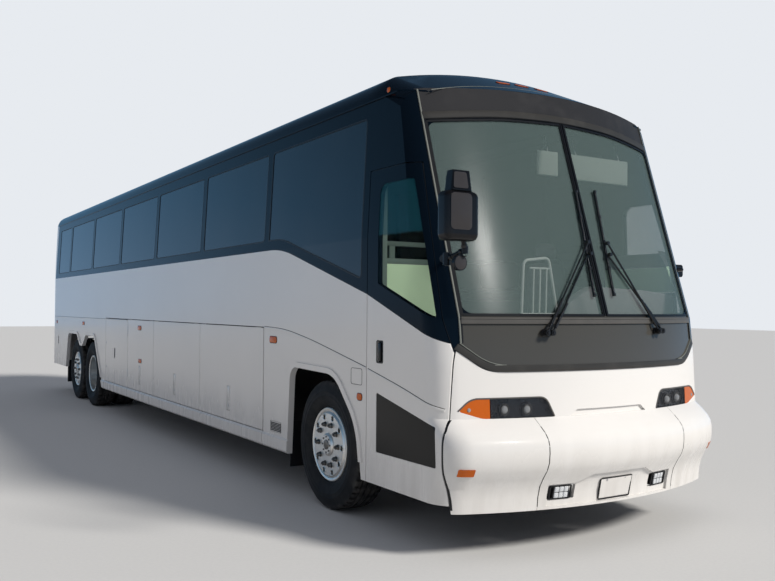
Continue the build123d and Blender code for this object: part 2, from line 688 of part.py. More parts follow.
# Lamps on the sides: rows of (y, z, half width), amber at the front and middle, red at the rear
SIDE_LAMPS = [(front_y + 956, 1348, 36), (DOOR_REAR_Y + 94, 978, 28), (drive_y + 508, 1348, 30),
              (REAR_Y - 420, 1330, 30)]
LAMP_PROUD = 8
with BuildPart() as marker_lamps:
    for side in (LEFT, RIGHT):
        for lamp_y, lamp_z, half in SIDE_LAMPS:
            with Locations((side * (HALF_WIDTH + LAMP_PROUD / 2), lamp_y, lamp_z)):
                Box(LAMP_PROUD, 2 * half, 2 * half)
    add(tail_lamps.part)
save("marker_lamps", marker_lamps.part)

# Doors that swing out
with BuildPart() as entrance_door:
    add(shell)
    keep_side((DOOR_REAR_Y - HALF_GAP, SKIRT_Z), *door_seam(HALF_GAP, SKIRT_Z),
              (pillar_y(DOOR_TOP_Z) + HALF_GAP, DOOR_TOP_Z - HALF_GAP), (DOOR_REAR_Y - HALF_GAP, DOOR_TOP_Z - HALF_GAP))
    keep_half(RIGHT)
    add(side_prism(*DOOR_GLASS), mode=Mode.SUBTRACT)
    add(side_prism(*DOOR_LOW_GLASS), mode=Mode.SUBTRACT)
    pocket(RIGHT, DOOR_REAR_Y - 187, 1326, *DOOR_HANDLE_POCKET)
door_upper = side_prism((DOOR_BACK_EDGE, BELT_AT_DOOR_Z), (DOOR_FRONT_EDGE, BELT_AT_FRONT_Z), (DOOR_FRONT_EDGE, FAR),
                        (DOOR_BACK_EDGE, FAR))
with BuildPart() as door_frame:
    add(entrance_door.part)
    add(door_upper, mode=Mode.INTERSECT)
save("door_frame", door_frame.part)
with BuildPart() as door_panel:
    add(entrance_door.part)
    add(door_upper, mode=Mode.SUBTRACT)
save("entrance_door", door_panel.part)

with BuildPart() as door_glass:
    add(glass_shell)
    with BuildPart(mode=Mode.PRIVATE) as door_openings:
        add(side_prism(*DOOR_GLASS))
        add(side_prism(*DOOR_LOW_GLASS))
    add(door_openings.part, mode=Mode.INTERSECT)
    keep_half(RIGHT)
save("door_glass", door_glass.part)

BAY_NAMES = ["front", "middle", "rear"]
BAY_TOP_GAP = 10
BARREL_RADIUS = 4.5
SERVICE_BARREL_RADIUS = 3
bay_top_z = SEAM_Z - BAY_TOP_GAP
for side, side_name in ((RIGHT, "right"), (LEFT, "left")):
    for index, bay_name in enumerate(BAY_NAMES):
        near = BAY_SEAMS_Y[index] + (BAY_FRONT_GAP if index == 0 else HALF_GAP)
        far = BAY_SEAMS_Y[index + 1] - (DOOR_GAP if index == len(BAY_NAMES) - 1 else HALF_GAP)
        with BuildPart() as bay_door:
            add(shell)
            keep_side((near, ROCKER_TOP_Z + DOOR_GAP), (far, ROCKER_TOP_Z + DOOR_GAP), (far, bay_top_z),
                      (near, bay_top_z))
            keep_half(side)
            pocket(side, (near + far) / 2, LATCH_Z, *LATCH_POCKET)
            for hinge_y in (near + BARREL_LENGTH, far - BARREL_LENGTH):
                with Locations(Location((side * HALF_WIDTH, hinge_y, bay_top_z), (90, 0, 0))):
                    Cylinder(BARREL_RADIUS, BARREL_LENGTH)
        save(f"bay_door_{side_name}_{bay_name}", bay_door.part)

    with BuildPart() as service_door:
        add(shell)
        keep_side((BAY_END_Y, ROCKER_TOP_Z + DOOR_GAP), (SERVICE_REAR_Y, ROCKER_TOP_Z + DOOR_GAP),
                  (SERVICE_REAR_Y, bay_top_z), (BAY_END_Y, bay_top_z))
        keep_half(side)
        pocket(side, BAY_END_Y + 716, 945, *HANDLE_POCKET)
        for hinge_z in (700, 1290):
            with Locations((side * HALF_WIDTH, BAY_END_Y, hinge_z)):
                Cylinder(SERVICE_BARREL_RADIUS, BARREL_LENGTH)
    save(f"service_door_{side_name}", service_door.part)


def block(low, high, mode=Mode.ADD):
    """Add or cut a box between two corners."""
    size = [b - a for a, b in zip(low, high)]
    centre = [(a + b) / 2 for a, b in zip(low, high)]
    with Locations(tuple(centre)):
        Box(*size, mode=mode)


# Floor, driver's platform and steps
STAIR_X = [-HALF_WIDTH, -960, -705, -450]
STAIR_Z = [400, 640, 880]
STAIR_REAR_Y = DOOR_REAR_Y - 30
STAIR_FRONT_Y = DOOR_FRONT_Y + 30
TREAD = 40
RISER = 30
HINGE_SWEEP = 200
KERB = 30
KERB_TOP_Z = 1520
DOOR_HINGE_X = -HALF_WIDTH - 5
with BuildPart() as cabin_floor:
    block((-HALF_WIDTH, PLATFORM_REAR_Y, DECK_Z - DECK_THICKNESS), (HALF_WIDTH, REAR_Y, DECK_Z))
    block((STAIR_X[-1], PLATFORM_REAR_Y - RISER, PLATFORM_Z - PLATFORM_THICKNESS),
          (HALF_WIDTH, PLATFORM_REAR_Y, DECK_Z))
    block((STAIR_X[-1], FRONT_Y, PLATFORM_Z - PLATFORM_THICKNESS), (HALF_WIDTH, PLATFORM_REAR_Y, PLATFORM_Z))
    block((-HALF_WIDTH, STAIR_REAR_Y, SKIRT_Z), (STAIR_X[-1], STAIR_REAR_Y + RISER, DECK_Z))
    block((-HALF_WIDTH, STAIR_REAR_Y + RISER, DECK_Z - DECK_THICKNESS), (STAIR_X[-1], PLATFORM_REAR_Y, DECK_Z))
    block((STAIR_X[-1] - RISER, STAIR_REAR_Y, PLATFORM_Z - PLATFORM_THICKNESS),
          (STAIR_X[-1], PLATFORM_REAR_Y, DECK_Z))
    block((-HALF_WIDTH, FRONT_Y, SKIRT_Z), (STAIR_X[-1], STAIR_FRONT_Y, PLATFORM_Z))
    for index, tread_z in enumerate(STAIR_Z):
        block((STAIR_X[index], STAIR_FRONT_Y, tread_z - TREAD), (STAIR_X[index + 1], STAIR_REAR_Y, tread_z))
        next_z = (STAIR_Z + [PLATFORM_Z])[index + 1]
        block((STAIR_X[index + 1] - RISER, STAIR_FRONT_Y, tread_z - TREAD),
              (STAIR_X[index + 1], STAIR_REAR_Y, next_z))
    add(cabin_solid, mode=Mode.INTERSECT)
    with BuildSketch(Plane.XY):
        with Locations((DOOR_HINGE_X, DOOR_FRONT_Y)):
            Circle(HINGE_SWEEP)
    extrude(amount=DOOR_TOP_Z, mode=Mode.SUBTRACT)
    for side in (LEFT, RIGHT):
        low_x, high_x = sorted((side * (INNER_X - KERB), side * INNER_X))
        block((low_x, PLATFORM_REAR_Y, DECK_Z), (high_x, REAR_CAP_Y, SEAM_Z + 10))
        low_x, high_x = sorted((side * (INNER_X - KERB), side * (HALF_WIDTH - WALL)))
        block((low_x, PLATFORM_REAR_Y, SEAM_Z + 10), (high_x, REAR_CAP_Y, KERB_TOP_Z))
save("cabin_floor", cabin_floor.part)

# Frame: bay floor and bulkheads amidships, rails to the axles fore and aft
RAIL_INNER_X = 360
RAIL_OUTER_X = 440
RAIL_LOW_Z = 620
RAIL_HIGH_Z = 780
RAIL_FRONT_Y = FRONT_Y + 300
RAIL_REAR_Y = REAR_CAP_Y
CROSSMEMBER = 80
UPRIGHT = 60
TOW_EYE_RADIUS = 20
TOW_EYE_LOW_Z = 515
LUG = 45
bay_front_y = FENDER_REAR_Y + 5 - BULKHEAD / 2
bay_rear_y = BAY_END_Y + BULKHEAD / 2
floor_under_z = DECK_Z - DECK_THICKNESS
with BuildPart() as underframe:
    block((-INNER_X, bay_front_y, BAY_FLOOR_Z - BAY_FLOOR_THICKNESS), (INNER_X, bay_rear_y, BAY_FLOOR_Z))
    for start_y in [bay_front_y] + [seam_y - BULKHEAD / 2 for seam_y in BAY_SEAMS_Y[1:]]:
        block((-INNER_X, start_y, BAY_FLOOR_Z), (INNER_X, start_y + BULKHEAD, floor_under_z))
save("underframe", underframe.part)

FRONT_UPRIGHTS_Y = [FRONT_Y + 620, PLATFORM_REAR_Y - 150]
REAR_UPRIGHTS_Y = [drive_y - 1379, tag_y + 681]


def mirrored_block(inner_x, outer_x, low, high):
    """Add a pair of boxes, one on each side, from corners given as (y, z)."""
    for side in (LEFT, RIGHT):
        low_x, high_x = sorted((side * inner_x, side * outer_x))
        block((low_x, *low), (high_x, *high))


with BuildPart() as front_frame:
    mirrored_block(RAIL_INNER_X, RAIL_OUTER_X, (RAIL_FRONT_Y, RAIL_LOW_Z), (bay_front_y, RAIL_HIGH_Z))
    mirrored_block(RAIL_INNER_X, RAIL_OUTER_X, (RAIL_FRONT_Y, TOW_EYE_LOW_Z), (RAIL_FRONT_Y + 2 * LUG, RAIL_LOW_Z))
    for upright_y in FRONT_UPRIGHTS_Y:
        mirrored_block(RAIL_INNER_X, RAIL_OUTER_X, (upright_y, RAIL_HIGH_Z),
                       (upright_y + UPRIGHT, PLATFORM_Z - PLATFORM_THICKNESS))
    for cross_y in (RAIL_FRONT_Y, PLATFORM_REAR_Y - 150):
        block((-RAIL_INNER_X, cross_y, RAIL_LOW_Z), (RAIL_INNER_X, cross_y + CROSSMEMBER, RAIL_HIGH_Z))
    rail_centre_x = (RAIL_INNER_X + RAIL_OUTER_X) / 2
    with BuildSketch(Plane.XY.offset(TOW_EYE_LOW_Z)):
        with Locations((-rail_centre_x, RAIL_FRONT_Y + LUG), (rail_centre_x, RAIL_FRONT_Y + LUG)):
            Circle(TOW_EYE_RADIUS)
    extrude(amount=RAIL_LOW_Z - TOW_EYE_LOW_Z, mode=Mode.SUBTRACT)

with BuildPart() as rear_frame:
    mirrored_block(RAIL_INNER_X, RAIL_OUTER_X, (bay_rear_y, RAIL_LOW_Z), (RAIL_REAR_Y, RAIL_HIGH_Z))
    for upright_y in REAR_UPRIGHTS_Y:
        mirrored_block(RAIL_INNER_X, RAIL_OUTER_X, (upright_y, RAIL_HIGH_Z), (upright_y + UPRIGHT, floor_under_z))
    for cross_y in (REAR_UPRIGHTS_Y[0], RAIL_REAR_Y - CROSSMEMBER):
        block((-RAIL_INNER_X, cross_y, RAIL_LOW_Z), (RAIL_INNER_X, cross_y + CROSSMEMBER, RAIL_HIGH_Z))

with BuildPart() as rails:
    add(front_frame.part)
    add(rear_frame.part)
save("rails", rails.part)

with BuildPart() as engine:
    block((-RAIL_INNER_X, REAR_Y - 1400, 560), (RAIL_INNER_X, RAIL_REAR_Y - CROSSMEMBER, 1220))
save("engine", engine.part)

# Axles: beams under the rails, with an eye for each kingpin at the front and a spindle in each hub
AXLE_Z = TYRE_RADIUS
EYE_RADIUS = 40
PIN_RADIUS = 22
PIN_FIT = 0.06
EYE_LOW_Z = 470
EYE_HIGH_Z = 580
SPINDLE_END = 66
YOKE_CLEAR = 110
TUBE_RADIUS = {"drive": 85, "tag": 60}
TUBE_END_X = 560


def tube_x(start_x, end_x, y, z, radius, mode=Mode.ADD):
    """Add or cut a round bar along X."""
    with BuildSketch(Plane.YZ.offset(min(start_x, end_x))) as section:
        with Locations((y, z)):
            Circle(radius)
    extrude(section.sketch, amount=abs(end_x - start_x), mode=mode)


with BuildPart() as axles:
    block((-KINGPIN_X, front_y - 40, EYE_LOW_Z), (KINGPIN_X, front_y + 40, EYE_HIGH_Z))
    for side in (LEFT, RIGHT):
        with BuildSketch(Plane.XY.offset(EYE_LOW_Z - 20)):
            with Locations((side * KINGPIN_X, front_y)):
                Circle(YOKE_CLEAR)
        extrude(amount=200, mode=Mode.SUBTRACT)
        block((min(side * 300, side * KINGPIN_X), front_y - EYE_RADIUS, EYE_LOW_Z),
              (max(side * 300, side * KINGPIN_X), front_y + EYE_RADIUS, EYE_HIGH_Z))
        with BuildSketch(Plane.XY.offset(EYE_LOW_Z)):
            with Locations((side * KINGPIN_X, front_y)):
                Circle(EYE_RADIUS)
        extrude(amount=EYE_HIGH_Z - EYE_LOW_Z)
        with BuildSketch(Plane.XY.offset(EYE_LOW_Z)):
            with Locations((side * KINGPIN_X, front_y)):
                Circle(PIN_RADIUS + PIN_FIT)
        extrude(amount=EYE_HIGH_Z - EYE_LOW_Z, mode=Mode.SUBTRACT)
        low_x, high_x = sorted((side * RAIL_INNER_X, side * RAIL_OUTER_X))
        block((low_x, front_y - 60, EYE_HIGH_Z - 30), (high_x, front_y + 60, RAIL_LOW_Z))
    for name in ("drive", "tag"):
        radius = TUBE_RADIUS[name]
        end_x = (TWIN_OUTER_X - 170 if name == "drive" else SINGLE_X) + SPINDLE_END
        tube_x(-TUBE_END_X, TUBE_END_X, WHEEL_Y[name], AXLE_Z, radius)
        tube_x(-end_x, end_x, WHEEL_Y[name], AXLE_Z, SPINDLE_RADIUS)
        for side in (LEFT, RIGHT):
            low_x, high_x = sorted((side * RAIL_INNER_X, side * RAIL_OUTER_X))
            block((low_x, WHEEL_Y[name] - 50, AXLE_Z + 20), (high_x, WHEEL_Y[name] + 50, RAIL_LOW_Z))
    tube_x(-150, 150, WHEEL_Y["drive"], AXLE_Z, 205)
save("axles", axles.part)

for side, side_name in ((RIGHT, "right"), (LEFT, "left")):
    with BuildPart() as knuckle:
        yoke_x = side * KINGPIN_X
        with BuildSketch(Plane.XY.offset(EYE_LOW_Z - 34)):
            with Locations((yoke_x, front_y)):
                Circle(PIN_RADIUS)
        extrude(amount=EYE_HIGH_Z - EYE_LOW_Z + 68)
        low_x, high_x = sorted((yoke_x - side * 30, yoke_x + side * 76))
        block((low_x, front_y - 30, EYE_LOW_Z - 34), (high_x, front_y + 30, EYE_LOW_Z - 6))
        block((low_x, front_y - 30, EYE_HIGH_Z + 6), (high_x, front_y + 30, EYE_HIGH_Z + 34))
        low_x, high_x = sorted((yoke_x + side * 48, yoke_x + side * 76))
        block((low_x, front_y - 45, EYE_LOW_Z - 34), (high_x, front_y + 45, EYE_HIGH_Z + 34))
        tube_x(yoke_x + side * 76, yoke_x + side * 92, front_y, AXLE_Z, 190)
        tube_x(yoke_x + side * 76, side * (SINGLE_X + SPINDLE_END), front_y, AXLE_Z, SPINDLE_RADIUS)
    save(f"knuckle_{side_name}", knuckle.part)

# Wheels, drawn with the axle along X and the outside towards +X
FLANGE_RADIUS = 298
BARREL_INNER = 270
BARREL_HALF = 112
HUB_RADIUS = 92
BORE_RADIUS = SPINDLE_RADIUS + SPINDLE_FIT
HAND_HOLES = 10
HAND_HOLE_RADIUS = 23
HAND_HOLE_CIRCLE = 228
DISH = TWIN_SPACING / 2
BARREL = [
    (-BARREL_HALF, BEAD_RADIUS), (BARREL_HALF, BEAD_RADIUS), (BARREL_HALF, FLANGE_RADIUS),
    (BARREL_HALF + 8, FLANGE_RADIUS), (BARREL_HALF + 8, BARREL_INNER), (-BARREL_HALF - 8, BARREL_INNER),
    (-BARREL_HALF - 8, FLANGE_RADIUS), (-BARREL_HALF, FLANGE_RADIUS),
]


def turned(*corners):
    """Add a ring turned about the wheel's axle from corners given as (along, radius)."""
    with BuildSketch(Plane.XY) as section:
        outline(*corners)
    revolve(section.sketch, axis=Axis.X)


def hand_holes(start, end):
    """Cut the ring of holes through a wheel disc."""
    with BuildSketch(Plane.YZ.offset(start)) as holes:
        with PolarLocations(HAND_HOLE_CIRCLE, HAND_HOLES):
            Circle(HAND_HOLE_RADIUS)
    extrude(holes.sketch, amount=end - start, mode=Mode.SUBTRACT)


with BuildPart() as single_rim:
    turned(*BARREL)
    turned((100, BARREL_INNER), (118, BARREL_INNER), (132, 252), (132, HUB_RADIUS), (112, HUB_RADIUS), (112, 246))
    turned((-70, BORE_RADIUS), (-70, HUB_RADIUS), (132, HUB_RADIUS), (132, BORE_RADIUS))
    turned((132, 0), (132, HUB_RADIUS), (138, HUB_RADIUS), (150, HUB_RADIUS - 16), (150, 0))
    hand_holes(90, 150)

with BuildPart() as half_twin:
    turned(*BARREL)
    turned((-BARREL_HALF - 8, BARREL_INNER), (-BARREL_HALF + 12, BARREL_INNER), (-DISH + 18, 205),
           (-DISH + 18, BORE_RADIUS), (-DISH, BORE_RADIUS), (-DISH, 200))
with BuildPart() as twin_rim:
    add(half_twin.part)
    add(half_twin.part.mirror(Plane.YZ).moved(Location((-TWIN_SPACING, 0, 0))))
    turned((-DISH - 150, BORE_RADIUS), (-DISH - 150, 110), (-DISH + 120, 110), (-DISH + 120, BORE_RADIUS))
    turned((-DISH + 120, 0), (-DISH + 120, 110), (-DISH + 130, 110), (-DISH + 142, 92), (-DISH + 142, 0))
    with BuildSketch(Plane.YZ.offset(-DISH - 40)) as twin_holes:
        with PolarLocations(175, HAND_HOLES):
            Circle(HAND_HOLE_RADIUS)
    extrude(twin_holes.sketch, amount=80, mode=Mode.SUBTRACT)

half_width = TYRE_WIDTH / 2
TYRE = [
    (-BARREL_HALF, BEAD_RADIUS), (-BARREL_HALF, FLANGE_RADIUS), (-half_width, 370), (-half_width, 445), (-half_width + 24, 508),
    (-half_width + 40, TYRE_RADIUS), (half_width - 40, TYRE_RADIUS), (half_width - 24, 508), (half_width, 445),
    (half_width, 370), (BARREL_HALF, FLANGE_RADIUS), (BARREL_HALF, BEAD_RADIUS),
]
with BuildPart() as single_tyre:
    turned(*TYRE)
with BuildPart() as twin_tyres:
    add(single_tyre.part)
    add(single_tyre.part.moved(Location((-TWIN_SPACING, 0, 0))))

for side, side_name in ((RIGHT, "right"), (LEFT, "left")):
    for name, wheel_y in WHEEL_Y.items():
        rim, tyre = (twin_rim, twin_tyres) if name == "drive" else (single_rim, single_tyre)
        wheel_x = side * (TWIN_OUTER_X if name == "drive" else SINGLE_X)
        place = Location((wheel_x, wheel_y, AXLE_Z), (0, 0, 0 if side == LEFT else 180))
        save(f"rim_{name}_{side_name}", rim.part.moved(place))
        save(f"tyre_{name}_{side_name}", tyre.part.moved(place))

# Inside: dashboard with the steering wheel, the driver's seat and a bench along each side
STEER_CENTRE = (620, FRONT_Y + 825, 1570)
DASH_REAR_Y = FRONT_Y + 740
BENCH_FRONT_Y = DOOR_REAR_Y + 570
BENCH_REAR_Y = REAR_Y - 620
BENCH_BACK_X = HALF_WIDTH - 60
DRIVER_SEAT_Y = DASH_REAR_Y + 320

# Bench: plinth, seat and back, as (front, rear, low, high) with depths taken from the back of the bench
BENCH = [(375, 335, DECK_Z, 1720), (455, 0, 1720, 1840), (105, 0, 1840, 2140)]
with BuildPart() as dashboard:
    block((STAIR_X[-1] + 20, FRONT_Y, PLATFORM_Z), (HALF_WIDTH, DASH_REAR_Y, 1500))
    block((330, DASH_REAR_Y - 120, 1500), (930, DASH_REAR_Y, 1600))
    block((590, DASH_REAR_Y - 40, 1280), (650, DASH_REAR_Y + 120, 1500))
    wheel_plane = Plane(origin=STEER_CENTRE, x_dir=(1, 0, 0), z_dir=(0, 0.5, 0.866))
    with BuildSketch(wheel_plane):
        Circle(50)
        with PolarLocations(0, 3, start_angle=90):
            with Locations((115, 0)):
                Rectangle(230, 34)
    extrude(amount=12, both=True)
    with Locations(wheel_plane):
        Torus(230, 17)
    with BuildSketch(wheel_plane):
        Circle(36)
    extrude(amount=-330)
    add(cabin_solid, mode=Mode.INTERSECT)
save("dashboard", dashboard.part)

with BuildPart() as seats:
    block((440, DRIVER_SEAT_Y + 60, PLATFORM_Z), (840, DRIVER_SEAT_Y + 410, 1440))
    block((380, DRIVER_SEAT_Y, 1440), (880, DRIVER_SEAT_Y + 510, 1560))
    block((380, DRIVER_SEAT_Y + 410, 1560), (880, DRIVER_SEAT_Y + 530, 2230))
    for side in (LEFT, RIGHT):
        for near_x, far_x, low_z, high_z in BENCH:
            low_x, high_x = sorted((side * (BENCH_BACK_X - near_x), side * (BENCH_BACK_X - far_x)))
            block((low_x, BENCH_FRONT_Y, low_z), (high_x, BENCH_REAR_Y, high_z))
save("seats", seats.part)

# Partition between the steps and the seats
PARTITION_THICKNESS = 30
PARTITION_TOP_Z = 1995
with BuildPart() as partition:
    block((-INNER_X, PLATFORM_REAR_Y - 10 - PARTITION_THICKNESS, DECK_Z), (STAIR_X[-1], PLATFORM_REAR_Y - 10,
          PARTITION_TOP_Z))
    add(cabin_solid, mode=Mode.INTERSECT)
save("partition", partition.part)


def rod(start, end, radius):
    """Add a round rod between two points."""
    start, end = Vector(*start), Vector(*end)
    with BuildSketch(Plane(origin=start, z_dir=(end - start).normalized())) as section:
        Circle(radius)
    extrude(section.sketch, amount=(end - start).length)


# Right mirror: a tall head with a tapered one on it, held off the front pillar by a jointed arm
ARM_RADIUS = 15
ARM_BEND = 30
MIRROR_X = -HALF_WIDTH - 93
MIRROR_Y = FRONT_Y + 98
MIRROR_FOOT_Z = 2056
HEAD_SIZE = (250, 130, 306)
HEAD_ROUNDING = 42
CAP_SIZE = (156, 92)
CAP_HEIGHT = 126
CAP_TAPER = 7
ROUND_MIRROR_RADIUS = 49
MIRROR_ARM = [
    (-HALF_WIDTH + 200, FRONT_Y + 580, 1978), (-HALF_WIDTH + 105, FRONT_Y + 490, 1975),
    (-HALF_WIDTH - 85, FRONT_Y + 225, 1952), (-HALF_WIDTH - 35, FRONT_Y + 105, 2005),
    (-HALF_WIDTH - 62, MIRROR_Y, MIRROR_FOOT_Z + 50),
]
with BuildPart() as mirror_head:
    with Locations((MIRROR_X, MIRROR_Y, MIRROR_FOOT_Z + HEAD_SIZE[2] / 2)):
        Box(*HEAD_SIZE)
    fillet(mirror_head.edges(), HEAD_ROUNDING)
    with BuildSketch(Plane.XY.offset(MIRROR_FOOT_Z + HEAD_SIZE[2])):
        with Locations((MIRROR_X, MIRROR_Y)):
            RectangleRounded(*CAP_SIZE, 18)
    extrude(amount=CAP_HEIGHT, taper=CAP_TAPER)
with BuildPart() as right_mirror:
    with BuildLine() as arm:
        FilletPolyline(*MIRROR_ARM, radius=ARM_BEND)
    with BuildSketch(Plane(origin=arm.line @ 0, z_dir=arm.line % 0)) as arm_section:
        Circle(ARM_RADIUS)
    sweep(arm_section.sketch, path=arm.line)
    add(mirror_head.part)
    with Locations(MIRROR_ARM[2]):
        Cylinder(24, 76)
    with Locations(MIRROR_ARM[3]):
        Cylinder(21, 50)
    with Locations(Location((-HALF_WIDTH - 57, FRONT_Y + 130, 1926), (90, 0, 0))):
        Cylinder(ROUND_MIRROR_RADIUS, 26)
    with Locations((-HALF_WIDTH - 48, FRONT_Y + 130, 1975)):
        Box(24, 22, 44)
    add(body_solid, mode=Mode.SUBTRACT)

# Left mirror: a small head beside the driver's window
SMALL_HEAD = (170, 80, 106)
SMALL_HEAD_PLACE = (HALF_WIDTH + 125, FRONT_Y + 810, 1980)
SMALL_ARM = [(HALF_WIDTH - 90, FRONT_Y + 612), (HALF_WIDTH - 5, FRONT_Y + 596), (HALF_WIDTH + 60, FRONT_Y + 800)]
with BuildPart() as left_mirror:
    with BuildLine(Plane.XY.offset(SMALL_HEAD_PLACE[2])) as small_arm:
        FilletPolyline(*SMALL_ARM, radius=ARM_BEND)
    with BuildSketch(Plane(origin=small_arm.line @ 0, z_dir=small_arm.line % 0)) as small_arm_section:
        Circle(ARM_RADIUS)
    sweep(small_arm_section.sketch, path=small_arm.line)
    with Locations(SMALL_HEAD_PLACE):
        Box(*SMALL_HEAD)
    fillet(left_mirror.edges().filter_by(Axis.Y).filter_by(GeomType.LINE), 24)
    add(body_solid, mode=Mode.SUBTRACT)
with BuildPart() as mirrors:
    add(right_mirror.part)
    add(left_mirror.part)
save("mirrors", mirrors.part)


def front_surface_y(x, z):
    """Where the windshield's surface lies at a place in the front view."""
    lower = [level for level in FRONT_PROFILE if level.z <= z][-1]
    upper = [level for level in FRONT_PROFILE if level.z > z][0]
    share = (z - lower.z) / (upper.z - lower.z)
    setback = lower.setback + share * (upper.setback - lower.setback)
    return FRONT_Y + setback + BOW_RADIUS - sqrt(BOW_RADIUS ** 2 - x ** 2)


# Wipers: rows of (pivot x, pivot z, arm end x, arm end z, blade top x, top z, foot x, foot z)
Wiper = namedtuple("Wiper", "pivot_x pivot_z end_x end_z top_x top_z foot_x foot_z")
WIPERS = [
    Wiper(-560, 1485, -50, 2130, -22, 2510, -78, 1745),
    Wiper(540, 1490, 150, 2130, 178, 2525, 121, 1752),
]
WIPER_STAND = 46
POST_SINK = 24
with BuildPart() as wipers:
    for wiper in WIPERS:
        for step in (0, 42):
            start = (wiper.pivot_x + step, front_surface_y(wiper.pivot_x + step, wiper.pivot_z) - WIPER_STAND,
                     wiper.pivot_z)
            end = (wiper.end_x, front_surface_y(wiper.end_x, wiper.end_z) - WIPER_STAND, wiper.end_z - 2 * step)
            rod(start, end, 7)
            rod(start, (start[0], start[1] + WIPER_STAND + POST_SINK, start[2]), 16)
        foot = (wiper.foot_x, front_surface_y(wiper.foot_x, wiper.foot_z) - 12, wiper.foot_z)
        top = (wiper.top_x, front_surface_y(wiper.top_x, wiper.top_z) - 12, wiper.top_z)
        rod(foot, top, 11)
        for step in (0, 42):
            end_z = wiper.end_z - 2 * step
            rod((wiper.end_x, front_surface_y(wiper.end_x, end_z) - WIPER_STAND - 6, end_z),
                (wiper.end_x, front_surface_y(wiper.end_x, end_z) - 6, end_z), 9)
    for solid in (body_solid, cowl.part, windshield_frame.part):
        add(solid, mode=Mode.SUBTRACT)
save("wipers", wipers.part)
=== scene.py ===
"""Looks of a three-axle party bus: finishes, trim, lamps, tyres, cushions, floor, lights and camera.

Lengths are metres. The floor is z = 0, the bus faces -Y and its entrance door is on the -X side.
"""

from __future__ import annotations

import json
import logging
import math
from collections.abc import Callable, Sequence
from dataclasses import dataclass, field
from enum import Enum

import bmesh
import bpy
from bmesh.types import BMEdge, BMFace, BMVert
from mathutils import Matrix, Vector

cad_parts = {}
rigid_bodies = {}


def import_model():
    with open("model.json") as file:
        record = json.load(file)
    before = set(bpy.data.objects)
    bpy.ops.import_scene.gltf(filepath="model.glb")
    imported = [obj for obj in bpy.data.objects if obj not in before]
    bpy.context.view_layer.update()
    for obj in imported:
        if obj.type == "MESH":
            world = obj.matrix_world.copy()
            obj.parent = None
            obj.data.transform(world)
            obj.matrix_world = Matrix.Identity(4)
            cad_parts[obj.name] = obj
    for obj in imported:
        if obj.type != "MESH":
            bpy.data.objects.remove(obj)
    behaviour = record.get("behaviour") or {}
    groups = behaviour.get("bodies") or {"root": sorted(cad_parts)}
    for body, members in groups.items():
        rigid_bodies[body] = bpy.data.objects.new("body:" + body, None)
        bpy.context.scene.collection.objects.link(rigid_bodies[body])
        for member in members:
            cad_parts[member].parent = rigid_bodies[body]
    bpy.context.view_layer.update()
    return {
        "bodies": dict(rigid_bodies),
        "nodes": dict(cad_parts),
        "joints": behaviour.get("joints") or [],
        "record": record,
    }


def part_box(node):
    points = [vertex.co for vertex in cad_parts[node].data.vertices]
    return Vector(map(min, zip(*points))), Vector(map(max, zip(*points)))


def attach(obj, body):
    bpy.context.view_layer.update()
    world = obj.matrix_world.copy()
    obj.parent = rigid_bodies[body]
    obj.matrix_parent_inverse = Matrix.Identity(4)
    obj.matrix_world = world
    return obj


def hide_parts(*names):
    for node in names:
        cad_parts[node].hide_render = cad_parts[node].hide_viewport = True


LOG = logging.getLogger("party_bus")

Colour = tuple[float, float, float]
Corner = tuple[float, ...]
Point = tuple[float, float, float]
Profile = Sequence[tuple[float, float]]
Rule = Callable[[Vector], Vector]

BODY = "coach_body"
DOOR = "entrance_door"
HALVES = (-1, 1)
AXLE_Z = 0.5255
LENGTHWAYS = (0, 1, 0)


class Side(Enum):
    """The two long sides of the bus, by the sign of x."""

    RIGHT = -1
    LEFT = 1

    @property
    def word(self) -> str:
        """The side's name as the CAD nodes spell it."""
        return self.name.lower()


# Shader graph


class Wire:
    """One output of a node, whose arithmetic adds Math nodes."""

    def __init__(self, graph: Graph, socket: bpy.types.NodeSocket | None) -> None:
        """Keep the graph and its output socket, which is None after an output node."""
        self.graph = graph
        self.socket = socket

    def out(self, name: str) -> Wire:
        """Another output of the same node, by name."""
        return Wire(self.graph, self.socket.node.outputs[name])

    def __add__(self, other: Value) -> Wire:
        """Sum."""
        return self.graph.sum_up("ADD", self, other)

    def __rsub__(self, other: Value) -> Wire:
        """Difference from a number."""
        return self.graph.sum_up("SUBTRACT", other, self)

    def __mul__(self, other: Value) -> Wire:
        """Product."""
        return self.graph.sum_up("MULTIPLY", self, other)

    __radd__ = __add__
    __rmul__ = __mul__

    def above(self, low: float, high: float) -> Wire:
        """Smooth step from 0 at low to 1 at high."""
        settings = {"interpolation_type": "SMOOTHSTEP"}
        return self.graph.node("ShaderNodeMapRange", settings, {0: self, 1: low, 2: high})


Value = Wire | float | Sequence[float]


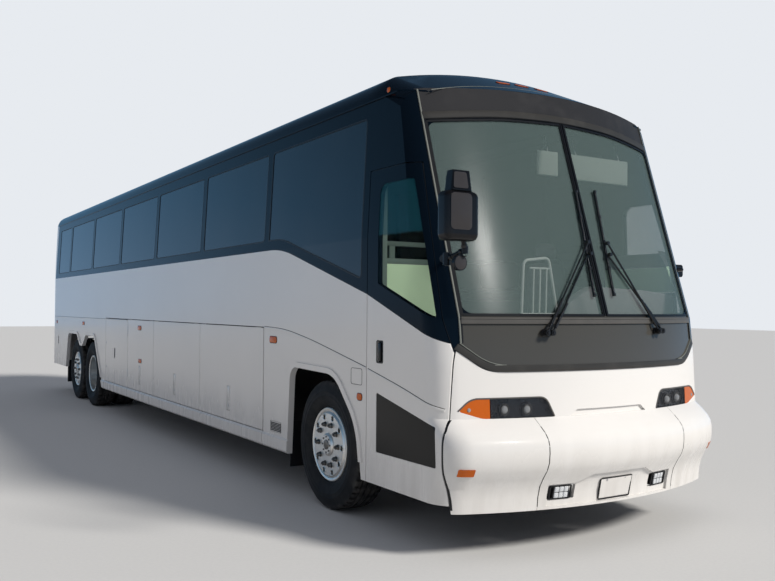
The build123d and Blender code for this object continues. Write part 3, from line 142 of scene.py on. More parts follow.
class Graph:
    """A node tree, emptied, with one way to add nodes to it."""

    def __init__(self, owner: bpy.types.Material | bpy.types.World) -> None:
        """Empty the node tree of a material or a world.

        Args:
            owner: The material or the world.
        """
        owner.use_nodes = True
        self.tree = owner.node_tree
        self.tree.nodes.clear()

    def node(self, kind: str, settings: dict | None = None, sockets: dict | None = None) -> Wire:
        """Add a node.

        Args:
            kind: The node's type.
            settings: Properties set before the sockets; "ramp" holds a colour ramp's stops.
            sockets: Values or wires by socket name or number.

        Returns:
            Its first enabled output.
        """
        node = self.tree.nodes.new(kind)
        for name, value in (settings or {}).items():
            if name == "ramp":
                for index, (stop, colour) in enumerate(value):
                    steps = node.color_ramp.elements
                    step = steps[index] if index < 2 else steps.new(stop)
                    step.position, step.color = stop, (*colour, 1)
            else:
                setattr(node, name, value)
        for name, value in (sockets or {}).items():
            self.feed(node.inputs[name], value)
        return Wire(self, next((socket for socket in node.outputs if socket.enabled), None))

    def feed(self, socket: bpy.types.NodeSocket, value: Value) -> None:
        """Link a wire to an input socket, or set its number, colour or vector.

        Args:
            socket: The input socket.
            value: The wire, number, colour or vector.
        """
        if isinstance(value, Wire):
            self.tree.links.new(value.socket, socket)
        elif isinstance(value, (int, float)):
            socket.default_value = value
        else:
            socket.default_value = (*value, 1.0)[:len(socket.default_value)]

    def sum_up(self, operation: str, first: Value, second: Value) -> Wire:
        """Add a Math node for one operation on two values."""
        return self.node("ShaderNodeMath", {"operation": operation}, {0: first, 1: second})

    def blend(self, factor: Value, first: Value, second: Value) -> Wire:
        """Mix two colours by a factor."""
        return self.node("ShaderNodeMix", {"data_type": "RGBA"}, {0: factor, 6: first, 7: second})


class Surface(Graph):
    """A material's node graph round one Principled shader."""

    def __init__(self, name: str) -> None:
        """Start a material of that name with a shader, an output and object coordinates.

        Args:
            name: The material's name.
        """
        self.material = bpy.data.materials.new(name)
        super().__init__(self.material)
        shaded = self.node("ShaderNodeBsdfPrincipled")
        self.shader = shaded.socket.node
        self.node("ShaderNodeOutputMaterial", {}, {"Surface": shaded})
        self.place = self.node("ShaderNodeTexCoord").out("Object")

    def noise(self, scale: float, detail: float = 3, stretch: Point = (1, 1, 1)) -> Wire:
        """Noise from 0 to 1.

        Args:
            scale: Features per metre.
            detail: Octaves.
            stretch: Extra scale along each axis.

        Returns:
            The noise value.
        """
        stretched = self.node("ShaderNodeMapping", {}, {"Vector": self.place, "Scale": stretch})
        return self.node("ShaderNodeTexNoise", {}, {"Vector": stretched, "Scale": scale, "Detail": detail})

    def along(self, axis: str) -> Wire:
        """One of the object coordinates, X, Y or Z."""
        return self.node("ShaderNodeSeparateXYZ", {}, {0: self.place}).out(axis)

    def radius(self, y: float, z: float) -> Wire:
        """Distance from an axle across the bus at that y and z.

        Args:
            y: The axle's place along the bus.
            z: Its height.

        Returns:
            The distance.
        """
        centred = {"Vector": self.place, "Location": (0, -y, -z), "Scale": (0, 1, 1)}
        middle = self.node("ShaderNodeMapping", {}, centred)
        return self.node("ShaderNodeVectorMath", {"operation": "LENGTH"}, {0: middle}).out("Value")

    def relief(self, height: Wire, strength: float, distance: float) -> Wire:
        """A normal bumped by a height, with how much of it shows and its depth in metres."""
        return self.node("ShaderNodeBump", {}, {"Height": height, "Strength": strength, "Distance": distance})

    def finish(self, **values: Value) -> bpy.types.Material:
        """Feed the Principled shader, with underscores for spaces in its sockets' names.

        Args:
            **values: Values or wires by socket name.

        Returns:
            The material.
        """
        for name, value in values.items():
            self.feed(self.shader.inputs[name.replace("_", " ")], value)
        return self.material


# Finishes


@dataclass(frozen=True)
class Finish:
    """A surface finish with the record's material slot that it belongs to."""

    name: str
    slot: str
    colour: Colour

    def make(self) -> bpy.types.Material:
        """The material, made once and then found by name."""
        return bpy.data.materials.get(self.name) or self.build(Surface(self.name))

    def tone(self, scale: float, lift: float = 0.0) -> Colour:
        """The colour made darker or paler."""
        return tuple(channel * scale + lift for channel in self.colour)

    def build(self, graph: Surface) -> bpy.types.Material:
        """Fill the graph; each kind of finish has its own way."""
        raise NotImplementedError


@dataclass(frozen=True)
class CoachPaint(Finish):
    """Glossy body paint with a little orange peel, and road dust low down."""

    dust: Colour
    dust_share: float
    gloss: float
    specular: float
    coat: float

    def build(self, graph: Surface) -> bpy.types.Material:
        """Paint with clouding, dust streaks near the sills and a bumpy clear coat.

        Args:
            graph: The material's graph.

        Returns:
            The material.
        """
        cloud = graph.noise(1.3, 4)
        streaks = graph.noise(3, 5, (3, 3, 0.35))
        low_down = 1 - graph.along("Z").above(0.30, 0.95)
        dust = low_down * streaks.above(0.25, 0.8) * self.dust_share
        colour = graph.blend(cloud, self.colour, self.tone(0.93))
        return graph.finish(
            Base_Color=graph.blend(dust, colour, self.dust),
            Roughness=self.gloss + dust * 0.5 + cloud * 0.06,
            Specular_IOR_Level=self.specular,
            Coat_Weight=self.coat * (1 - dust) if self.coat else 0.0,
            Coat_Roughness=0.04,
            Normal=graph.relief(graph.noise(220, 2), 0.05, 0.0006),
        )


@dataclass(frozen=True)
class Moulding(Finish):
    """Grained plastic or rubber, rubbed paler in places."""

    roughness: float
    grain: float
    depth: float
    worn: float
    specular: float = 0.4

    def build(self, graph: Surface) -> bpy.types.Material:
        """Plastic with a fine grain and soft scuffs.

        Args:
            graph: The material's graph.

        Returns:
            The material.
        """
        scuffs = graph.noise(7, 6).above(0.45, 0.75) * self.worn
        grain = graph.noise(self.grain, 3)
        return graph.finish(
            Base_Color=graph.blend(scuffs, self.colour, self.tone(1.5, 0.02)),
            Roughness=self.roughness + scuffs * 0.3 + grain * 0.06,
            Specular_IOR_Level=self.specular,
            Normal=graph.relief(grain, 0.35, self.depth),
        )


@dataclass(frozen=True)
class Pane(Finish):
    """Window glass with a thin film of dust, and another tint before a place on an axis."""

    alpha: float
    roughness: float
    specular: float
    film: float = 0.06
    zones: tuple[tuple[str, float, float, Colour], ...] = ()

    def build(self, graph: Surface) -> bpy.types.Material:
        """Tinted glass, a little dusty, with its zones.

        Args:
            graph: The material's graph.

        Returns:
            The material.
        """
        smears = graph.noise(2.2, 5, (1, 1, 0.5))
        colour = graph.blend(smears.above(0.4, 0.9) * self.film * 4, self.colour, self.tone(0.8, 0.08))
        alpha: Value = self.alpha
        for axis, edge, zone_alpha, zone_colour in self.zones:
            inside = 1 - graph.along(axis).above(edge - 0.01, edge + 0.01)
            colour = graph.blend(inside, colour, zone_colour)
            alpha = inside * zone_alpha + (1 - inside) * alpha
        return graph.finish(
            Base_Color=colour,
            Roughness=self.roughness + smears * self.film,
            Specular_IOR_Level=self.specular,
            Alpha=alpha,
        )


@dataclass(frozen=True)
class Lens(Finish):
    """Coloured lamp plastic with moulded ribs."""

    ribs: float
    glow: float = 0.0

    def build(self, graph: Surface) -> bpy.types.Material:
        """A lens with a grid of small prisms.

        Args:
            graph: The material's graph.

        Returns:
            The material.
        """
        sockets = {"Vector": graph.place, "Scale": self.ribs}
        across, along, up = (
            graph.node("ShaderNodeTexWave", {"bands_direction": axis}, sockets).out("Fac") for axis in "XYZ"
        )
        prisms = (across + along + up) * 0.33
        return graph.finish(
            Base_Color=graph.blend(prisms, self.tone(0.55), self.colour),
            Roughness=0.12 + prisms * 0.08,
            Specular_IOR_Level=0.3,
            Coat_Weight=0.1,
            Emission_Color=self.colour,
            Emission_Strength=self.glow,
            Normal=graph.relief(prisms, 0.3, 0.001),
        )


@dataclass(frozen=True)
class Alloy(Finish):
    """Machined metal with turning marks round an axle, and brake dust."""

    axle_y: float = 0.0
    axle_z: float = AXLE_Z
    roughness: float = 0.22
    dust: float = 0.35

    def build(self, graph: Surface) -> bpy.types.Material:
        """Metal with rings about the axle.

        Args:
            graph: The material's graph.

        Returns:
            The material.
        """
        spoke = graph.node("ShaderNodeCombineXYZ", {}, {0: graph.radius(self.axle_y, self.axle_z)})
        rings = graph.node("ShaderNodeTexNoise", {}, {"Vector": spoke, "Scale": 260, "Detail": 3})
        soot = graph.noise(9, 5).above(0.42, 0.8) * self.dust
        return graph.finish(
            Base_Color=graph.blend(soot, self.colour, self.tone(0.42)),
            Metallic=1 - soot * 0.6,
            Roughness=self.roughness + rings * 0.16 + soot * 0.4,
            Normal=graph.relief(rings, 0.15, 0.0006),
        )


@dataclass(frozen=True)
class Iron(Finish):
    """Painted or cast metal under the floor, with dust and a little rust."""

    rust: float = 0.25
    roughness: float = 0.55
    rust_colour: Colour = (0.16, 0.075, 0.035)
    dust_colour: Colour = (0.17, 0.155, 0.135)

    def build(self, graph: Surface) -> bpy.types.Material:
        """Rough metal with brown patches.

        Args:
            graph: The material's graph.

        Returns:
            The material.
        """
        patches = graph.noise(5, 6).above(0.5, 0.72) * self.rust
        dust = graph.noise(2, 5).above(0.35, 0.8) * 0.35
        colour = graph.blend(patches, self.colour, self.rust_colour)
        return graph.finish(
            Base_Color=graph.blend(dust, colour, self.dust_colour),
            Roughness=self.roughness + dust * 0.4,
            Metallic=0.35 - patches * 0.3,
            Normal=graph.relief(graph.noise(160, 4), 0.4, 0.001),
        )


@dataclass(frozen=True)
class Tread(Finish):
    """Tyre rubber, paler with dust where it has rolled."""

    axle_y: float
    dust_colour: Colour = (0.13, 0.12, 0.11)

    def build(self, graph: Surface) -> bpy.types.Material:
        """Rubber with dust towards the tread.

        Args:
            graph: The material's graph.

        Returns:
            The material.
        """
        rolled = graph.radius(self.axle_y, AXLE_Z).above(0.47, 0.53)
        dust = (rolled * 0.5 + 0.12) * graph.noise(14, 5).above(0.3, 0.75)
        return graph.finish(
            Base_Color=graph.blend(dust, self.colour, self.dust_colour),
            Roughness=0.72 + dust * 0.2,
            Specular_IOR_Level=0.3,
            Normal=graph.relief(graph.noise(420, 3), 0.3, 0.0005),
        )


@dataclass(frozen=True)
class Leather(Finish):
    """Stitched seat leather with a pebbled grain."""

    def build(self, graph: Surface) -> bpy.types.Material:
        """Leather with grain cells and creases.

        Args:
            graph: The material's graph.

        Returns:
            The material.
        """
        cells = graph.node("ShaderNodeTexVoronoi", {}, {"Vector": graph.place, "Scale": 240})
        creases = graph.noise(9, 6)
        return graph.finish(
            Base_Color=graph.blend(creases.above(0.4, 0.8), self.colour, self.tone(1.6, 0.01)),
            Roughness=0.38 + creases * 0.18,
            Specular_IOR_Level=0.45,
            Normal=graph.relief(cells * 0.6 + creases * 0.4, 0.3, 0.001),
        )


@dataclass(frozen=True)
class Flooring(Finish):
    """Speckled hard-wearing floor cover."""

    def build(self, graph: Surface) -> bpy.types.Material:
        """Dark cover with pale flecks.

        Args:
            graph: The material's graph.

        Returns:
            The material.
        """
        flecks = graph.noise(190, 2).above(0.62, 0.68)
        return graph.finish(
            Base_Color=graph.blend(flecks * 0.7, self.colour, self.tone(2.4)),
            Roughness=0.6 + graph.noise(4, 4) * 0.2,
            Normal=graph.relief(graph.noise(300, 2), 0.25, 0.0006),
        )


class Finishes:
    """Every finish of the bus, by the names its classes use."""

    white = CoachPaint("white_gloss", "white_paint", (0.80, 0.785, 0.765), (0.42, 0.39, 0.35), 0.35,
                       0.2, 0.35, 0.15)
    black = CoachPaint("black_gloss", "black_paint", (0.002, 0.005, 0.010), (0.05, 0.05, 0.05), 0.2,
                       0.13, 0.12, 0)
    panel = CoachPaint("cowl_gloss", "dark_panel", (0.066, 0.063, 0.056), (0.10, 0.10, 0.10), 0.2,
                       0.16, 0.35, 0)
    visor = Moulding("visor_plastic", "grey_plastic", (0.026, 0.025, 0.026), 0.5, 380, 0.0005, 0.25)
    lip = Moulding("rubber_lip", "grey_plastic", (0.036, 0.034, 0.031), 0.45, 420, 0.0004, 0.3)
    # Grey trim; the same grey also paints the shade of the body crease lines.
    trim = Moulding("grey_trim", "grey_plastic", (0.085, 0.081, 0.075), 0.42, 500, 0.0003, 0.3)
    # Pale grey edge strips: a grey trim, painted paler as the highlights along its edges.
    bright = Moulding("pale_edge_trim", "grey_plastic", (0.19, 0.20, 0.18), 0.35, 500, 0.0003, 0.2)
    seal = Moulding("black_rubber_seal", "wiper_black", (0.006, 0.006, 0.007), 0.45, 600, 0.0003, 0.1)
    gloss_black = Moulding("mirror_plastic", "mirror_shell", (0.006, 0.006, 0.007), 0.2, 700, 0.0002,
                           0.15, 0.25)
    shell_grey = Moulding("mirror_face", "mirror_shell", (0.036, 0.033, 0.034), 0.32, 500, 0.0003, 0.2, 0.3)
    wiper = Moulding("wiper_steel", "wiper_black", (0.006, 0.006, 0.007), 0.25, 700, 0.0002, 0.15, 0.5)
    side_glass = Pane("tinted_side_glass", "tinted_glass", (0.004, 0.008, 0.014), 0.95, 0.02, 0.5, 0.03,
                      (("Y", -5.43, 0.5, (0.016, 0.17, 0.22)),))
    windshield = Pane("windshield_glass", "clear_glass", (0.145, 0.205, 0.200), 0.32, 0.17, 0.5, 0.03)
    door_glass = Pane("door_glass_clear", "clear_glass", (0.014, 0.10, 0.13), 0.42, 0.02, 0.2, 0.01,
                      (("Z", 2.17, 0.04, (0.03, 0.07, 0.06)), ("Z", 1.35, 0.97, (0.006, 0.006, 0.006))))
    cover = Pane("lamp_cover", "lamp_glass", (0.10, 0.11, 0.13), 0.10, 0.03, 0.5)
    bulb = Lens("lamp_lens", "lamp_glass", (0.82, 0.85, 0.88), 110)
    glass_eye = Pane("projector_glass", "lamp_glass", (0.30, 0.31, 0.32), 0.9, 0.02, 0.8, 0.02)
    amber = Lens("amber_plastic", "amber_lens", (0.66, 0.13, 0.004), 120, 0.03)
    red = Lens("red_lens", "amber_lens", (0.45, 0.012, 0.01), 120, 0.1)
    chrome = Alloy("lamp_chrome", "polished_rim", (0.8, 0.8, 0.82), 0, 0, 0.08, 0.05)
    steel = Alloy("steel_fittings", "polished_rim", (0.55, 0.55, 0.56), 0, 0, 0.3, 0.3)
    chassis = Iron("chassis_paint", "frame_paint", (0.016, 0.016, 0.018))
    axle = Iron("cast_axle", "axle_iron", (0.04, 0.04, 0.042), 0.4)
    engine = Iron("cast_engine", "engine_iron", (0.10, 0.105, 0.11), 0.3)
    floor = Flooring("ribbed_floor", "floor_cover", (0.05, 0.05, 0.055))
    hood = Moulding("dash_hood", "dash_plastic", (0.30, 0.29, 0.31), 0.6, 320, 0.0006, 0.2)
    dash = Moulding("grained_dash", "dash_plastic", (0.075, 0.073, 0.072), 0.6, 320, 0.0006, 0.2)
    leather = Leather("bench_leather", "seat_leather", (0.035, 0.032, 0.035))
    lining = Moulding("partition_lining", "lining", (0.70, 0.97, 0.66), 0.55, 260, 0.0004, 0.08)
    jamb = Moulding("door_jamb_lining", "lining", (0.84, 0.90, 0.88), 0.5, 260, 0.0004, 0.05)
    post = Moulding("post_lining", "grey_plastic", (0.17, 0.24, 0.21), 0.5, 300, 0.0004, 0.1)
    visor_cloth = Moulding("sun_visor_cloth", "lining", (0.40, 0.46, 0.42), 0.8, 700, 0.0006, 0.1)
    mirror = Alloy("mirror_silver", "polished_rim", (0.85, 0.87, 0.88), 0, 0, 0.02, 0.0)


# Shapes


@dataclass(frozen=True)
class BodyForm:
    """Where the outside of the body lies, with the CAD's own sizes."""

    half_width: float = 1.295
    front_y: float = -6.82
    rear_y: float = 6.82
    height: float = 3.52
    bow: float = 3.13
    corner: float = 0.226
    belt_z: float = 2.165
    lean: float = 0.05
    crown: float = 4.7
    crease_y: float = -6.0727
    crease_z: float = 3.27
    brow_slope: float = 0.4375
    levels: Profile = (
        (0.31, 0.125), (0.40, 0.116), (0.47, 0.098), (0.53, 0.064), (0.585, 0.026), (0.64, 0.005),
        (0.70, 0.0), (0.75, 0.002), (0.79, 0.014), (0.83, 0.044), (0.875, 0.098), (0.92, 0.156),
        (1.285, 0.175), (1.58, 0.208), (3.62, 0.859),
    )

    def wall_x(self, z: float) -> float:
        """Half width of the body at a height."""
        return self.half_width - max(0.0, z - self.belt_z) * self.lean

    def setback(self, z: float) -> float:
        """How far the front lies behind its foremost point at a height.

        Args:
            z: Height.

        Returns:
            The distance back.
        """
        z = min(max(z, self.levels[0][0]), self.levels[-1][0])
        low, high = next((a, b) for a, b in zip(self.levels, self.levels[1:]) if z <= b[0])
        return low[1] + (z - low[0]) / (high[0] - low[0]) * (high[1] - low[1])

    def nose_y(self, x: float, z: float) -> float:
        """The front surface's y at a place in the front view.

        Args:
            x: Distance from the middle.
            z: Height.

        Returns:
            The y of the surface.
        """
        corner_x = self.half_width - self.corner
        corner_back = self.bow - math.sqrt((self.bow - self.corner) ** 2 - corner_x**2)
        join_x = self.bow * corner_x / (self.bow - self.corner)
        start = self.front_y + self.setback(z)
        across = min(abs(x), self.half_width)
        if across <= join_x:
            return start + self.bow - math.sqrt(self.bow**2 - across**2)
        return start + corner_back - math.sqrt(max(0.0, self.corner**2 - (across - corner_x) ** 2))

    def edge_x(self, y: float, z: float) -> float:
        """The body's half width at a place along it, round the front corners too.

        Args:
            y: Place along the bus.
            z: Height.

        Returns:
            The half width.
        """
        low, high = 1.0, self.half_width
        for _ in range(24):
            middle = (low + high) / 2
            if self.nose_y(middle, z) < y:
                low = middle
            else:
                high = middle
        return min(low, self.wall_x(z))

    def brow_z(self, x: float, y: float) -> float:
        """The roof's height at a place in the plan."""
        rise = min(self.crease_z + (y - self.crease_y) * self.brow_slope, self.height)
        return rise - x * x / (2 * self.crown)

    def on_side(self, side: Side) -> Rule:
        """A move from (y, z, outward) to a place on one wall."""
        return lambda p: Vector((side.value * (self.wall_x(p.y) + p.z), p.x, p.y))

    def on_corner(self, side: Side) -> Rule:
        """A move from (y, z, outward) to a place on one wall or on the front corner before it."""
        return lambda p: Vector((side.value * (self.edge_x(p.x, p.y) + p.z), p.x, p.y))

    def on_front(self, p: Vector) -> Vector:
        """Move (x, z, outward) to a place on the front."""
        return Vector((p.x, self.nose_y(p.x, p.y) - p.z, p.y))

    def on_rear(self, p: Vector) -> Vector:
        """Move (x, z, outward) to a place on the rear wall."""
        return Vector((p.x, self.rear_y + p.z, p.y))

    def on_brow(self, p: Vector) -> Vector:
        """Move (x, y, outward) to a place on the sloping front of the roof."""
        return Vector((p.x, p.y, self.brow_z(p.x, p.y) + p.z))


FORM = BodyForm()


def rectangle(left: float, low: float, right: float, high: float, reach: float = 0.0) -> list[Corner]:
    """Corners of an upright rectangle, each rounded by a reach."""
    return [(left, low, reach), (right, low, reach), (right, high, reach), (left, high, reach)]


def flipped(corners: Sequence[Corner], sign: int) -> list[Corner]:
    """The same corners, or with -1 as the sign their mirror image across the bus."""
    return [(sign * corner[0], *corner[1:]) for corner in corners]


def raised(corners: Sequence[Corner], rise: float) -> list[Corner]:
    """The same corners, moved up."""
    return [(across, up + rise, *reach) for across, up, *reach in corners]


def rounded(corners: Sequence[Corner], steps: int = 6) -> list[Vector]:
    """An open path in (across, up, 0) with its inner corners curved.

    Args:
        corners: (across, up), or (across, up, reach) with how far from the corner its curve starts.
        steps: Points along each curve.

    Returns:
        The path's points.
    """
    flat = [Vector((*corner[:2], 0)) for corner in corners]
    path: list[Vector] = []
    for index, corner in enumerate(corners):
        here = flat[index]
        if len(corner) < 3:
            path.append(here)
            continue
        start = here + (flat[index - 1] - here).normalized() * corner[2]
        end = here + (flat[index + 1] - here).normalized() * corner[2]
        for step in range(steps + 1):
            share = step / steps
            path.append(start.lerp(here, share).lerp(here.lerp(end, share), share))
    return path


class Shape:
    """A mesh shaped with bmesh operators; most of its methods return it, so that they chain."""

    def __init__(self) -> None:
        """Start with nothing."""
        self.mesh = bmesh.new()

    def brick(self, low: Point, high: Point) -> Shape:
        """Add a box between two corners.

        Args:
            low: Lowest corner.
            high: Highest corner.

        Returns:
            The shape.
        """
        first, last = Vector(low), Vector(high)
        block = Matrix.Translation((first + last) / 2) @ Matrix.Diagonal((*(last - first), 1))
        bmesh.ops.create_cube(self.mesh, size=1, matrix=block)
        return self

    def pad(self, across: float, up: float, half_wide: float, half_tall: float, back: float,
            face: float) -> Shape:
        """Add a box round a middle in the flat frame, between its back and its face."""
        low = (across - half_wide, up - half_tall, back)
        return self.brick(low, (across + half_wide, up + half_tall, face))

    def rod(self, start: Point, end: Point, radius: float, sides: int = 12,
            tip: float | None = None) -> Shape:
        """Add a round or tapered rod.

        Args:
            start: Centre of the first end.
            end: Centre of the other end.
            radius: Radius of the first end.
            sides: Facets round it.
            tip: Radius of the other end, if it tapers.

        Returns:
            The shape.
        """
        first, last = Vector(start), Vector(end)
        turn = (last - first).to_track_quat("Z", "Y").to_matrix().to_4x4()
        bmesh.ops.create_cone(
            self.mesh, cap_ends=True, segments=sides, radius1=radius, radius2=radius if tip is None else tip,
            depth=(last - first).length, matrix=Matrix.Translation((first + last) / 2) @ turn,
        )
        return self

    def pipe(self, points: Sequence[Point], radius: float, sides: int = 10) -> Shape:
        """Add a bent tube.

        Args:
            points: Its centre line.
            radius: Its radius.
            sides: Facets round it.

        Returns:
            The shape.
        """
        path = [Vector(point) for point in points]
        rings: list[list[BMEdge]] = []
        for index, centre in enumerate(path):
            ahead = path[min(index + 1, len(path) - 1)] - path[max(index - 1, 0)]
            turn = ahead.to_track_quat("Z", "Y").to_matrix().to_4x4()
            ring = bmesh.ops.create_circle(
                self.mesh, cap_ends=index in (0, len(path) - 1), segments=sides, radius=radius,
                matrix=Matrix.Translation(centre) @ turn,
            )["verts"]
            rings.append(list({edge for vert in ring for edge in vert.link_edges}))
        for near, far in zip(rings, rings[1:]):
            bmesh.ops.bridge_loops(self.mesh, edges=near + far)
        return self

    def lathe(self, profile: Profile, centre: Point, steps: int, axis: Point = (1, 0, 0),
              closed: bool = False) -> list[BMFace]:
        """Turn a profile about an axis.

        Args:
            profile: (along, radius) pairs.
            centre: A point on the axis.
            steps: Facets round it.
            axis: The axis, along X or Y.
            closed: True where the profile's end joins its start.

        Returns:
            The new faces.
        """
        direction, middle = Vector(axis), Vector(centre)
        outward = Vector((0, 0, 1))
        verts = [
            self.mesh.verts.new(middle + direction * along + outward * radius) for along, radius in profile
        ]
        pairs = list(zip(verts, verts[1:])) + ([(verts[-1], verts[0])] if closed else [])
        edges = [self.mesh.edges.new(pair) for pair in pairs]
        old = set(self.mesh.faces)
        bmesh.ops.spin(
            self.mesh, geom=verts + edges, cent=middle, axis=direction, angle=math.tau, steps=steps,
            use_merge=True,
        )
        turned = {vert for face in self.mesh.faces if face not in old for vert in face.verts}
        bmesh.ops.remove_doubles(self.mesh, verts=list(turned), dist=1e-6)
        return [face for face in self.mesh.faces if face not in old]

    def outline(self, corners: Sequence[Corner], segments: int) -> BMFace:
        """Add a flat face in (across, up, 0) whose corners may be rounded.

        Args:
            corners: (across, up) or (across, up, radius).
            segments: Steps round each corner.

        Returns:
            The face.
        """
        verts = [self.mesh.verts.new((corner[0], corner[1], 0)) for corner in corners]
        face = self.mesh.faces.new(verts)
        flat = [Vector(corner[:2]) for corner in corners]
        for index, corner in enumerate(corners):
            if len(corner) < 3 or corner[2] <= 0:
                continue
            to_last = flat[index - 1] - flat[index]
            to_next = flat[(index + 1) % len(flat)] - flat[index]
            reach = corner[2] / math.tan(to_last.angle(to_next) / 2)
            reach = min(reach, to_last.length * 0.48, to_next.length * 0.48)
            bmesh.ops.bevel(
                self.mesh, geom=[verts[index]], offset=reach, segments=segments, profile=0.5,
                affect="VERTICES", material=-1,
            )
        self.mesh.faces.ensure_lookup_table()
        return face if face.is_valid else self.mesh.faces[-1]

    def sheet(self, corners: Sequence[Corner], segments: int = 5) -> Shape:
        """Add a flat face, as outline takes it."""
        self.outline(corners, segments)
        return self

    def frame(self, corners: Sequence[Corner], width: float, segments: int = 5) -> Shape:
        """Add a flat ring of some width inside an outline.

        Args:
            corners: The outline, as outline takes it.
            width: Width of the ring.
            segments: Steps round each corner.

        Returns:
            The shape.
        """
        face = self.outline(corners, segments)
        bmesh.ops.inset_region(
            self.mesh, faces=[face], thickness=width, use_even_offset=True, use_boundary=True,
        )
        bmesh.ops.delete(self.mesh, geom=[face], context="FACES_ONLY")
        return self

    def ribbon(self, path: Sequence[Vector], width: float) -> Shape:
        """Add a flat strip of some width along the middle line of an open path in (across, up, 0).

        Args:
            path: Points of the middle line.
            width: The strip's width.

        Returns:
            The shape.
        """
        pairs = []
        for index, point in enumerate(path):
            ahead = path[min(index + 1, len(path) - 1)] - path[max(index - 1, 0)]
            out = Vector((-ahead.y, ahead.x, 0)).normalized() * width / 2
            pairs.append((self.mesh.verts.new(point + out), self.mesh.verts.new(point - out)))
        for near, far in zip(pairs, pairs[1:]):
            self.mesh.faces.new((near[0], near[1], far[1], far[0]))
        return self

    def cut(self, axis: int, place: float) -> None:
        """Split every face that crosses a place on an axis.

        Args:
            axis: 0, 1 or 2 for x, y or z.
            place: Where on that axis.
        """
        normal = Vector((0, 0, 0))
        normal[axis] = 1
        parts = [*self.mesh.verts, *self.mesh.edges, *self.mesh.faces]
        bmesh.ops.bisect_plane(self.mesh, geom=parts, dist=1e-5, plane_co=normal * place, plane_no=normal)

    def slice_up(self, step: float, axis: int = 0) -> Shape:
        """Cut everything into slices of one thickness, so that it can follow a curve.

        Args:
            step: Thickness of a slice.
            axis: 0, 1 or 2 for x, y or z.

        Returns:
            The shape.
        """
        values = [vert.co[axis] for vert in self.mesh.verts]
        place = math.floor(min(values) / step) * step + step
        while place < max(values):
            self.cut(axis, place)
            place += step
        return self

    def lift(self, rise: float) -> Shape:
        """Move everything outward in the flat frame."""
        return self.place(lambda p: p + Vector((0, 0, rise)))

    def thicken(self, depth: float) -> Shape:
        """Give flat faces a thickness towards +z of the flat frame.

        Args:
            depth: The thickness; below 0 it goes the other way.

        Returns:
            The shape.
        """
        bmesh.ops.recalc_face_normals(self.mesh, faces=self.mesh.faces)
        faces = list(self.mesh.faces)
        if sum(face.normal.z * face.calc_area() for face in faces) < 0:
            bmesh.ops.reverse_faces(self.mesh, faces=faces)
        result = bmesh.ops.extrude_face_region(self.mesh, geom=faces, use_keep_orig=True)
        moved = [item for item in result["geom"] if isinstance(item, BMVert)]
        bmesh.ops.translate(self.mesh, verts=moved, vec=(0, 0, depth))
        bmesh.ops.recalc_face_normals(self.mesh, faces=self.mesh.faces)
        return self

    def place(self, move: Rule) -> Shape:
        """Move every vertex by a rule.

        Args:
            move: The rule from an old place to a new one.

        Returns:
            The shape.
        """
        for vert in self.mesh.verts:
            vert.co = move(vert.co)
        return self

    def soften(self, width: float, segments: int = 2, angle: float = 35) -> Shape:
        """Round every edge sharper than an angle.

        Args:
            width: Bevel width.
            segments: Steps across it.
            angle: Degrees.

        Returns:
            The shape.
        """
        bmesh.ops.remove_doubles(self.mesh, verts=self.mesh.verts, dist=1e-6)
        limit = math.radians(angle)
        sharp = [
            edge for edge in self.mesh.edges if len(edge.link_faces) == 2 and edge.calc_face_angle(0) > limit
        ]
        bmesh.ops.bevel(
            self.mesh, geom=sharp, offset=width, offset_type="OFFSET", segments=segments, profile=0.5,
            affect="EDGES", material=-1, clamp_overlap=True,
        )
        return self

    def join(self, other: Shape, move: Rule | None = None) -> Shape:
        """Take another shape's mesh in, moved by a rule, and free it.

        Args:
            other: The shape that is taken in.
            move: The rule that moves it first.

        Returns:
            The shape.
        """
        if move:
            other.place(move)
        bmesh.ops.recalc_face_normals(other.mesh, faces=other.mesh.faces)
        scratch = bpy.data.meshes.new("scratch")
        other.mesh.to_mesh(scratch)
        other.mesh.free()
        self.mesh.from_mesh(scratch)
        bpy.data.meshes.remove(scratch)
        return self

    def finish(self, name: str, finish: Finish, body: str = BODY, replaces: Sequence[str] = (),
               smooth: float = 35, recalculate: bool = True) -> bpy.types.Object:
        """Make the mesh an object that rides on a body.

        Args:
            name: The piece's name.
            finish: Its finish.
            body: The CAD body that it rides on.
            replaces: CAD nodes that it stands for.
            smooth: Degrees under which neighbouring faces shade smoothly.
            recalculate: False where the normals are already right.

        Returns:
            The object.
        """
        if recalculate:
            bmesh.ops.recalc_face_normals(self.mesh, faces=self.mesh.faces)
        for face in self.mesh.faces:
            face.smooth = True
        limit = math.radians(smooth)
        for edge in self.mesh.edges:
            if len(edge.link_faces) != 2 or edge.calc_face_angle(0) > limit:
                edge.smooth = False
        piece = self.show(name)
        piece.data.materials.append(finish.make())
        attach(piece, body)
        if replaces:
            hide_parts(*replaces)
        LOG.info("made %s on %s, %d faces", name, body, len(piece.data.polygons))
        return piece

    def show(self, name: str) -> bpy.types.Object:
        """Put the mesh in the scene as an object of that name, and free it.

        Args:
            name: The object's name.

        Returns:
            The object.
        """
        data = bpy.data.meshes.new(name)
        self.mesh.to_mesh(data)
        self.mesh.free()
        piece = bpy.data.objects.new(name, data)
        bpy.context.scene.collection.objects.link(piece)
        return piece


def strip(corners: Sequence[Corner], width: float, low: float, high: float, move: Rule, step: float = 0.06,
          axis: int = 0) -> Shape:
    """A flat strip laid on the body along a path.

    Args:
        corners: The path, as rounded takes it.
        width: The strip's width.
        low: Its back, outward of the surface.
        high: Its face, outward of the surface.
        move: The rule from the flat frame to the body.
        step: Slice thickness.
        axis: The axis that is sliced, 0 across and 1 up.

    Returns:
        The shape in place.
    """
    band = Shape().ribbon(rounded(corners), width).slice_up(step, axis)
    return band.lift(low).thicken(high - low).place(move)


def upright(y: float) -> Rule:
    """A move from (x, z, forward) to a place before or behind a plane across the bus."""
    return lambda p: Vector((p.x, y - p.z, p.y))


